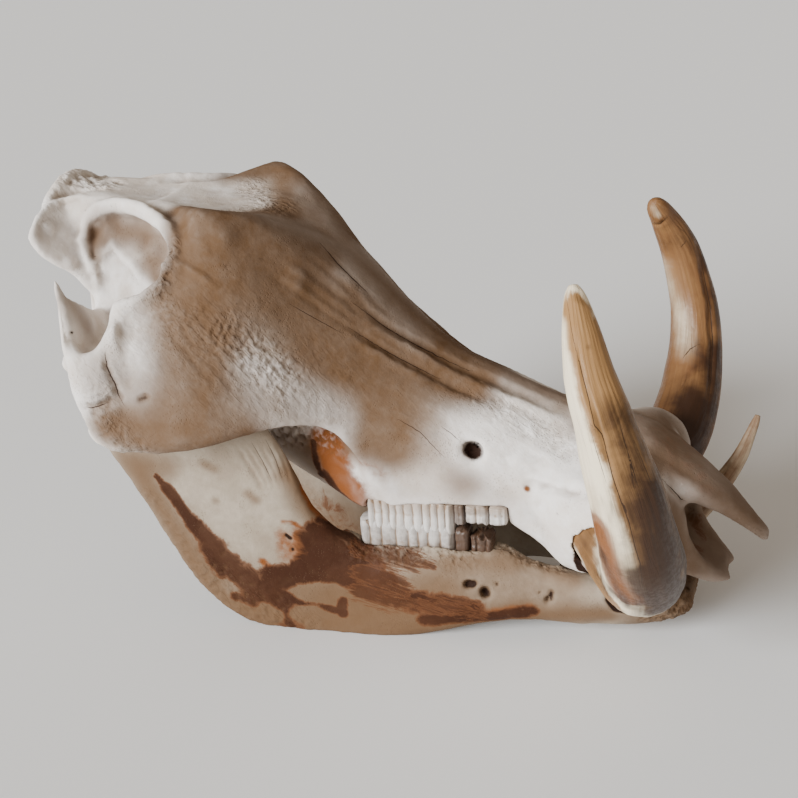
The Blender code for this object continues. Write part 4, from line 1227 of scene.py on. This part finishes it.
class Nodes:
    """Adds nodes to one shader tree. Each value is a number, a colour or a node's output."""

    def __init__(self, tree):
        self.tree = tree

    def fill(self, socket, value):
        if isinstance(value, bpy.types.NodeSocket):
            self.tree.links.new(value, socket)
        else:
            socket.default_value = value

    def add(self, kind, values, **choices):
        """The outputs of a new node with its choices set and its inputs filled."""
        node = self.tree.nodes.new("ShaderNode" + kind)
        for name, choice in choices.items():
            setattr(node, name, choice)
        for name, value in values.items():
            self.fill(node.inputs[name], value)
        return node.outputs

    def sum(self, operation, first, second=0.0, clamp=False):
        return self.add("Math", {0: first, 1: second}, operation=operation, use_clamp=clamp)[0]

    def plus(self, first, second):
        return self.sum("ADD", first, second)

    def minus(self, first, second, clamp=False):
        return self.sum("SUBTRACT", first, second, clamp)

    def times(self, first, second):
        return self.sum("MULTIPLY", first, second)

    def stretched(self, spot, scale):
        return self.add("VectorMath", {0: spot, 1: scale}, operation="MULTIPLY")[0]

    def remap(self, value, low, high, to_low=0.0, to_high=1.0):
        return self.add("MapRange", {
            "Value": value, "From Min": low, "From Max": high, "To Min": to_low, "To Max": to_high},
            interpolation_type="SMOOTHSTEP")["Result"]

    def noise(self, spot, scale, detail, roughness=0.5, distortion=0.0):
        return self.add("TexNoise", {"Vector": spot, "Scale": scale, "Detail": detail,
                                     "Roughness": roughness, "Distortion": distortion})["Fac"]

    def field(self, name, output="Fac"):
        return self.add("Attribute", {}, attribute_name=name)[output]

    def group(self, name, spot, **values):
        """The outputs of a shared group. Its inputs are named with spaces for underscores."""
        node = self.tree.nodes.new("ShaderNodeGroup")
        node.node_tree = bpy.data.node_groups.get(name) or GROUPS[name](name)
        self.fill(node.inputs["Vector"], spot)
        for label, value in values.items():
            self.fill(node.inputs[label.replace("_", " ")], value)
        return node.outputs

    def crack_mask(self, spot):
        return self.group("fine crack", spot, Across=self.field("crack_across"),
                          Shows=self.field("crack_shows"))["Mask"]

    def slanted(self, spot, angle, stretch):
        """Coordinates turned about the sideways axis and stretched along the turned one."""
        turn = (0.0, math.radians(angle), 0.0)
        turned = self.add("Mapping", {"Vector": spot, "Rotation": turn})["Vector"]
        return self.add("Mapping", {"Vector": turned, "Scale": (stretch, 1.0, 1.0)})["Vector"]

    def glazed(self, thickness):
        """How much a see-through coat covers: each further layer dims by the same ratio."""
        passed = self.sum("POWER", GLAZE_PASSES, thickness)
        return self.sum("DIVIDE", self.minus(1.0, passed), 1.0 - GLAZE_PASSES, clamp=True)


class Group(Nodes):
    """A shader group that takes coordinates and numbers and gives numbers."""

    def __init__(self, name, inputs, outputs):
        super().__init__(bpy.data.node_groups.new(name, "ShaderNodeTree"))
        sockets = self.tree.interface
        sockets.new_socket("Vector", in_out="INPUT", socket_type="NodeSocketVector")
        for label, default in inputs.items():
            socket = sockets.new_socket(label, in_out="INPUT", socket_type="NodeSocketFloat")
            socket.default_value = default
        for label in outputs:
            sockets.new_socket(label, in_out="OUTPUT", socket_type="NodeSocketFloat")
        self.given = self.tree.nodes.new("NodeGroupInput").outputs
        self.gives = self.tree.nodes.new("NodeGroupOutput").inputs
        self.spot = self.given["Vector"]


def mottle_group(name):
    """Cloudy patches and fine flecks of any surface."""
    group = Group(name, {"Cloud Scale": 40.0, "Fleck Scale": 420.0}, ("Clouds", "Flecks"))
    clouds = group.noise(group.spot, group.given["Cloud Scale"], 6.0, 0.6, 0.4)
    flecks = group.noise(group.spot, group.given["Fleck Scale"], 4.0, 0.65)
    group.fill(group.gives["Clouds"], group.remap(clouds, 0.34, 0.66))
    group.fill(group.gives["Flecks"], group.remap(flecks, 0.3, 0.7))
    return group.tree


def stain_group(name):
    """Turns a soft field into a stain with a ragged edge and a thicker core."""
    group = Group(name, {"Field": 0.0, "Raggedness": 1.0, "Scale": 120.0}, ("Edge", "Core"))
    soft = group.given["Field"]
    ragged = group.noise(group.spot, group.given["Scale"], 8.0, 0.68, 0.8)
    moved = group.plus(soft, group.times(group.minus(ragged, 0.5), group.given["Raggedness"]))
    within = group.remap(soft, 0.02, 0.14)
    for label, low, high in (("Edge", 0.30, 0.50), ("Core", 0.42, 0.72)):
        group.fill(group.gives[label], group.times(group.remap(moved, low, high), within))
    return group.tree


def crack_group(name):
    """Draws a thin, uneven dark line where the distance across a crack is nought."""
    group = Group(name, {"Across": NO_CRACK, "Shows": 0.0, "Wiggle": 2.0}, ("Mask",))
    shows = group.given["Shows"]
    uneven = group.minus(group.noise(group.spot, 420.0, 4.0, 0.6), 0.5)
    across = group.plus(group.given["Across"], group.times(uneven, group.given["Wiggle"]))
    inside = group.minus(shows, group.times(group.sum("ABSOLUTE", across), 0.8))
    line = group.remap(inside, -0.12, 0.22)
    group.fill(group.gives["Mask"], group.times(line, group.remap(shows, 0.02, 0.2)))
    return group.tree


def pore_group(name):
    """Height of fine pores and grain, and of slanting flecks where the bone is rough."""
    group = Group(name, {"Rough": 0.0}, ("Height", "Pores"))
    rough = group.given["Rough"]
    cells = group.add("TexVoronoi", {"Vector": group.spot, "Scale": 700.0, "Randomness": 1.0})
    often = group.plus(group.noise(group.spot, 60.0, 3.0), group.times(rough, 0.12))
    pores = group.times(group.remap(cells["Distance"], 0.34, 0.08), group.remap(often, 0.48, 0.66))
    grain = group.noise(group.spot, 260.0, 8.0, 0.62)
    flecks = group.noise(group.slanted(group.spot, -48, 0.3), 430.0, 3.0, 0.5, 0.5)
    dashes = group.times(group.remap(flecks, 0.42, 0.66), rough)
    height = group.minus(grain, group.times(pores, 0.7))
    group.fill(group.gives["Height"], group.plus(height, group.times(dashes, 1.6)))
    group.fill(group.gives["Pores"], pores)
    return group.tree


def grain_group(name):
    """Long streaks that follow a tusk, from its straightened coordinates."""
    group = Group(name, {"Scale": 500.0, "Stretch": 0.05}, ("Streaks", "Hair Cracks", "Bands"))
    scale = group.given["Scale"]
    size = group.add("CombineXYZ", {"X": 1.0, "Y": 1.0, "Z": group.given["Stretch"]})[0]
    along = group.stretched(group.spot, size)
    fine = group.add("TexVoronoi", {"Vector": along, "Scale": group.times(scale, 0.55)},
                     feature="DISTANCE_TO_EDGE")["Distance"]
    where = group.remap(group.noise(group.spot, 45.0, 2.0), 0.5, 0.62)
    streaks = group.noise(along, scale, 6.0, 0.6, 0.3)
    across = group.noise(group.spot, 55.0, 5.0, 0.5, 0.8)
    group.fill(group.gives["Streaks"], group.remap(streaks, 0.32, 0.68))
    group.fill(group.gives["Hair Cracks"], group.times(group.remap(fine, 0.035, 0.0), where))
    group.fill(group.gives["Bands"], group.remap(across, 0.35, 0.65))
    return group.tree


GROUPS = {"cloudy mottling": mottle_group, "ragged stain": stain_group, "fine crack": crack_group,
          "pores and grain": pore_group, "long grain": grain_group}


class Coats(Nodes):
    """A material whose colour is laid on in coats, from a ground colour up."""

    def __init__(self, name, ground):
        self.material = bpy.data.materials.new(name)
        self.material.use_nodes = True
        super().__init__(self.material.node_tree)
        self.shader = self.tree.nodes["Principled BSDF"].inputs
        self.spot = self.add("TexCoord", {})["Object"]
        self.colour = (*ground, 1.0)

    def coat(self, mask, colour, share=1.0):
        """Lay a colour on where the mask is, covering at most this share of what is below."""
        amount = mask if share == 1.0 else self.times(mask, share)
        self.colour = self.add("Mix", {0: amount, 6: self.colour, 7: (*colour, 1.0)},
                               data_type="RGBA")[2]

    def finish(self, roughness, gloss):
        self.fill(self.shader["Base Color"], self.colour)
        self.fill(self.shader["Roughness"], roughness)
        self.fill(self.shader["Specular IOR Level"], gloss)

    def bump(self, height, strength, millimetres):
        self.fill(self.shader["Normal"], self.add("Bump", {
            "Height": height, "Strength": strength, "Distance": millimetres * MM})["Normal"])


def bone_material(name, pale, cream):
    """Chalky bone, browned in places and given painted shade in tan where it turns from the light,
    stained in others, with dirt and painted shade in every hole.
    """
    bone = settings().bone
    paint = Coats(name, pale)
    spot = paint.spot
    mottle = paint.group("cloudy mottling", spot, Cloud_Scale=30.0)
    fine = paint.group("cloudy mottling", spot, Cloud_Scale=150.0, Fleck_Scale=900.0)
    pores = paint.group("pores and grain", spot, Rough=paint.field("rough"))
    # The cream mottle is kept off the lit patches, which stay pale as painted light
    paint.coat(paint.minus(mottle["Clouds"], paint.field("bleached"), clamp=True), cream, 0.75)
    paint.coat(fine["Clouds"], cream, 0.3)

    # Tan glazed on: browning, and painted shade on the faces turned from the light
    thinner = paint.plus(paint.times(mottle["Clouds"], 0.10), paint.times(fine["Clouds"], 0.08))
    tan = paint.times(paint.field("tan"), paint.minus(1.0, thinner))
    paint.coat(paint.glazed(tan), bone.tan)

    orange = paint.field("orange")
    uneven = paint.plus(orange, paint.times(paint.minus(fine["Clouds"], 0.5), 0.3))
    glow = paint.times(paint.remap(uneven, 0.12, 0.9), paint.remap(orange, 0.0, 0.2))
    paint.coat(glow, bone.orange)

    brown = paint.group("ragged stain", spot, Field=paint.field("brown"), Raggedness=1.0, Scale=110.0)
    paint.coat(brown["Edge"], bone.russet, 0.85)
    thick = paint.remap(mottle["Clouds"], 0.0, 1.0, 0.82, 1.0)
    paint.coat(paint.times(brown["Core"], thick), bone.brown)

    fan = paint.group("ragged stain", paint.slanted(spot, -14, 0.10), Field=paint.field("streaks"),
                      Raggedness=2.4, Scale=420.0)
    paint.coat(fan["Edge"], bone.russet, 0.8)
    paint.coat(fan["Core"], bone.brown, 0.7)

    # Painted shade in the hollows
    paint.coat(paint.field("hollow"), bone.tan, 0.5)
    bare = paint.minus(1.0, paint.sum("MAXIMUM", brown["Edge"], tan), clamp=True)
    paint.coat(paint.times(paint.field("ridge"), bare), pale, 0.3)
    paint.coat(pores["Pores"], bone.tan, 0.3)

    # Pit colour where the marks are dark: dirt in the lines, painted shade in deep holes and sockets
    dirt_and_shade = paint.plus(paint.field("dirt_and_shade"), paint.times(mottle["Flecks"], 0.12))
    paint.coat(paint.remap(dirt_and_shade, 0.3, 0.75), bone.pit)
    crack = paint.crack_mask(spot)
    paint.coat(crack, bone.pit, 0.85)
    chalk = paint.minus(fine["Clouds"], brown["Core"])
    paint.finish(paint.remap(chalk, -1.0, 1.0, 0.55, 0.8), 0.1)
    paint.bump(paint.minus(pores["Height"], crack), 0.5, 0.7)
    return paint.material


def ivory_material(name, ivory):
    """Ivory with long grain: cream where it is bleached and where light is painted, honey to amber
    elsewhere and in part painted shade, umber below.
    """
    tusk = settings().tusk
    paint = Coats(name, tusk.cream)
    straight = paint.field("grain", "Vector")
    grain = paint.group("long grain", straight)
    wide = paint.group("long grain", straight, Scale=150.0, Stretch=0.12)
    mottle = paint.group("cloudy mottling", paint.spot, Cloud_Scale=60.0)
    streaky = paint.plus(paint.times(wide["Bands"], 0.55), paint.times(grain["Streaks"], 0.45))
    uneven = paint.plus(paint.times(paint.minus(streaky, 0.5), 0.3),
                        paint.times(paint.minus(mottle["Clouds"], 0.5), 0.2))

    # Honey where the tan field is; on the right tusk's inner face it is in part painted shade
    honey = paint.plus(paint.field("tan"), uneven)
    paint.coat(paint.remap(honey, 0.3, 0.72, 0.06, 1.0), tusk.honey)
    paint.coat(paint.remap(paint.plus(uneven, ivory.amber), -0.1, 1.1), tusk.amber)
    root = paint.plus(paint.field("along"), paint.times(uneven, 0.25))
    paint.coat(paint.remap(root, ivory.root_reach + 0.1, ivory.root_reach - 0.1), tusk.amber, 0.5)

    # Cream where the cream field is: in part painted light on the right tusk's outer face, and a painted
    # highlight down the left tusk
    cream = paint.plus(paint.field("cream"), paint.times(uneven, 0.6))
    paint.coat(paint.remap(cream, 0.15, 0.9), tusk.cream, 0.75)
    orange = paint.plus(paint.field("orange"), paint.times(uneven, 0.5))
    paint.coat(paint.remap(orange, 0.1, 0.9), settings().bone.orange, 0.85)
    # Umber where the brown field is; on the right tusk's inner face and low edge it is in part painted
    # shade
    stained = paint.field("brown")
    brown = paint.plus(stained, paint.times(uneven, paint.remap(stained, 0.0, 0.3)))
    paint.coat(paint.remap(brown, 0.08, 1.0), tusk.umber, 0.95)

    paint.coat(grain["Hair Cracks"], tusk.umber, 0.35)
    crack = paint.crack_mask(paint.spot)
    dirt_and_shade = paint.remap(paint.field("dirt_and_shade"), 0.1, 0.8)
    paint.coat(paint.sum("MAXIMUM", paint.times(crack, 0.9), dirt_and_shade), tusk.crack)
    paint.finish(paint.remap(mottle["Flecks"], 0.0, 1.0, 0.34, 0.5), 0.25)
    cuts = paint.plus(paint.times(grain["Hair Cracks"], 1.2), paint.times(crack, 1.5))
    paint.bump(paint.minus(grain["Streaks"], cuts), 0.3, 0.4)
    return paint.material


def tooth_material(name, brown):
    """Enamel that is brown in its folds, and browner where the tooth is broken."""
    tooth = settings().tooth
    paint = Coats(name, tooth.enamel)
    mottle = paint.group("cloudy mottling", paint.spot, Cloud_Scale=160.0, Fleck_Scale=900.0)
    upright = paint.stretched(paint.spot, (1.0, 1.0, 0.18))
    streaks = paint.group("cloudy mottling", upright, Cloud_Scale=420.0)
    paint.coat(streaks["Clouds"], tooth.root, 0.3)
    # The folds darken by how deep each point lies: painted shade
    paint.coat(paint.remap(paint.field("hollow"), 0.04, 0.45), tooth.root, 0.8)
    paint.coat(paint.remap(paint.field("gum"), 0.35, 1.0), tooth.root, 0.6)
    least = max(0.0, 1.4 * brown - 0.45)
    paint.coat(paint.remap(mottle["Clouds"], 0.0, 1.0, least, brown), tooth.decay)
    paint.finish(paint.remap(mottle["Flecks"], 0.0, 1.0, 0.28, 0.55), 0.5)
    paint.bump(streaks["Clouds"], 0.35, 0.4)
    return paint.material


def floor_material():
    paint = Coats("plain floor", settings().stage.floor_colour)
    paint.finish(0.85, 0.5)
    return paint.material


# Operators

class SkullOperator:
    bl_options = {"REGISTER", "UNDO"}


class SKULL_OT_cranium(SkullOperator, bpy.types.Operator):
    """Carve and colour the cranium"""
    bl_idname = "skull.cranium"
    bl_label = "Cranium"

    def execute(self, context):
        bone = settings().bone
        colouring = Colouring(CRANIUM_TAN_AND_SHADE, CRANIUM_BROWN_AND_SHADE, CRANIUM_ORANGE, bleached=CRANIUM_BLEACH_AND_LIGHT)
        thing = build_bone("cranium", "cranium_bone", bone.cranium_triangles, CRANIUM_MARKS,
                           CRANIUM_CRACKS, CRANIUM_PATCHES, colouring)
        material = bone_material("cranium bone", bone.pale, bone.cream)
        finish_piece(thing, material, "cranium_bone", "cranium")
        return {"FINISHED"}


class SKULL_OT_mandible(SkullOperator, bpy.types.Operator):
    """Carve and colour the lower jaw"""
    bl_idname = "skull.mandible"
    bl_label = "Lower jaw"

    def execute(self, context):
        bone = settings().bone
        colouring = Colouring(JAW_TAN_AND_SHADE, JAW_BROWN, JAW_ORANGE, JAW_STREAKS, JAW_CLEAN)
        thing = build_bone("mandible", "mandible_bone", bone.jaw_triangles, JAW_MARKS,
                           JAW_CRACKS, JAW_PATCHES, colouring)
        # The jaw's darker bone colours are in part painted shade
        material = bone_material("jaw bone", bone.pale_jaw_and_shade, bone.cream_jaw_and_shade)
        finish_piece(thing, material, "jaw_bone", "mandible")
        return {"FINISHED"}


class SKULL_OT_upper_tusks(SkullOperator, bpy.types.Operator):
    """Model the two curved upper tusks"""
    bl_idname = "skull.upper_tusks"
    bl_label = "Upper tusks"

    def execute(self, context):
        for side, shape in UPPER_TUSKS.items():
            material = ivory_material("tusk ivory " + side, IVORIES[side])
            make_tusk("upper_tusk_" + side, shape, side, settings().tusk.sides, upper_outline,
                      material, "tusk_ivory")
        return {"FINISHED"}


class SKULL_OT_lower_tusks(SkullOperator, bpy.types.Operator):
    """Model the slender lower tusk and the stump of its broken twin"""
    bl_idname = "skull.lower_tusks"
    bl_label = "Lower tusks"

    def execute(self, context):
        material = ivory_material("lower tusk ivory", IVORIES["lower"])
        for side, shape in LOWER_TUSKS.items():
            make_tusk("lower_tusk_" + side, shape, "lower", settings().tusk.lower_sides,
                      lower_outline, material, "lower_tusk_ivory")
        return {"FINISHED"}


class SKULL_OT_cheek_teeth(SkullOperator, bpy.types.Operator):
    """Model every worn and broken cheek tooth"""
    bl_idname = "skull.cheek_teeth"
    bl_label = "Cheek teeth"

    def execute(self, context):
        materials = {}
        seed = 0.0
        for jaw, side in (("upper", "right"), ("upper", "left"), ("lower", "right"), ("lower", "left")):
            for label, spec in TEETH[jaw].items():
                if spec.brown not in materials:
                    name = "tooth enamel %d" % (len(materials) + 1)
                    materials[spec.brown] = tooth_material(name, spec.brown)
                seed += SEED_STEP
                node = "%s_%s_%s" % (jaw, side, label)
                self.make_tooth(node, jaw, spec, seed, materials[spec.brown])
        return {"FINISHED"}

    def make_tooth(self, node, jaw, spec, seed, material):
        low, high = (Vector(corner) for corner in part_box(node))
        thing = loft(node + "_crown", tooth_rings(low, high, jaw == "lower", spec, seed))
        heights = read_points(thing.data)[:, 2]
        gum = (high.z - heights) / (high.z - low.z)
        if jaw == "upper":
            gum = 1.0 - gum
        write_field(thing.data, "gum", gum)
        write_field(thing.data, "hollow", np.maximum(relief(thing.data, *TOOTH_RELIEF), 0.0))
        finish_piece(thing, material, "tooth_enamel", node)


class SKULL_OT_stage(SkullOperator, bpy.types.Operator):
    """Lay the floor, hang the soft lights and set the photograph's camera"""
    bl_idname = "skull.stage"
    bl_label = "Stage"

    def execute(self, context):
        stage = settings().stage
        bm = bmesh.new()
        bmesh.ops.create_grid(bm, x_segments=1, y_segments=1, size=FLOOR_REACH)
        floor = object_from("floor", bm)
        floor.data.materials.append(floor_material())
        self.window(stage)
        world = bpy.data.worlds.new("room light")
        world.use_nodes = True
        background = world.node_tree.nodes["Background"]
        background.inputs["Color"].default_value = (*stage.sky_colour, 1.0)
        background.inputs["Strength"].default_value = stage.sky
        context.scene.world = world
        self.camera(context)
        return {"FINISHED"}

    def window(self, stage):
        """A broad soft light from the left of the photograph's camera."""
        data = bpy.data.lights.new("window", "SUN")
        data.energy = stage.window_strength
        data.angle = stage.window_softness
        data.color = stage.window_colour
        lamp = new_object("window", data)
        lamp.location = WINDOW_PLACE
        lamp.rotation_euler = (-WINDOW_PLACE).to_track_quat("-Z", "Y").to_euler()

    def camera(self, context):
        data = bpy.data.cameras.new("photo camera")
        data.sensor_width = SENSOR_WIDTH
        data.lens = FOCAL_PIXELS * SENSOR_WIDTH / PHOTO_SIZE
        data.clip_start = NEAREST_SEEN
        camera = new_object("photo camera", data)
        turn = Matrix(camera_axes()).transposed().to_4x4()
        camera.matrix_world = Matrix.Translation(camera_place()) @ turn
        context.scene.camera = camera


OPERATORS = (SKULL_OT_cranium, SKULL_OT_mandible, SKULL_OT_upper_tusks, SKULL_OT_lower_tusks,
             SKULL_OT_cheek_teeth, SKULL_OT_stage)


class SKULL_PT_panel(bpy.types.Panel):
    """The pieces of the skull and the sizes and colours they use"""
    bl_idname = "SKULL_PT_panel"
    bl_label = "Warthog skull"
    bl_space_type = "VIEW_3D"
    bl_region_type = "UI"
    bl_category = "Skull"

    def draw(self, context):
        for operator in OPERATORS:
            self.layout.operator(operator.bl_idname)
        for label in ("bone", "tusk", "tooth", "stage"):
            box = self.layout.box()
            box.label(text=label.capitalize())
            group = getattr(context.scene.skull_settings, label)
            for prop in group.bl_rna.properties:
                if prop.identifier not in ("rna_type", "name"):
                    box.prop(group, prop.identifier)


CLASSES = (BoneSettings, TuskSettings, ToothSettings, StageSettings, SkullSettings,
           *OPERATORS, SKULL_PT_panel)


def register():
    noise.seed_set(NOISE_SEED)
    for cls in CLASSES:
        bpy.utils.register_class(cls)
    bpy.types.Scene.skull_settings = PointerProperty(type=SkullSettings)


def unregister():
    del bpy.types.Scene.skull_settings
    for cls in reversed(CLASSES):
        bpy.utils.unregister_class(cls)


def main():
    register()
    for operator in OPERATORS:
        group, name = operator.bl_idname.split(".")
        getattr(getattr(bpy.ops, group), name)()


if __name__ == "__main__":
    main()
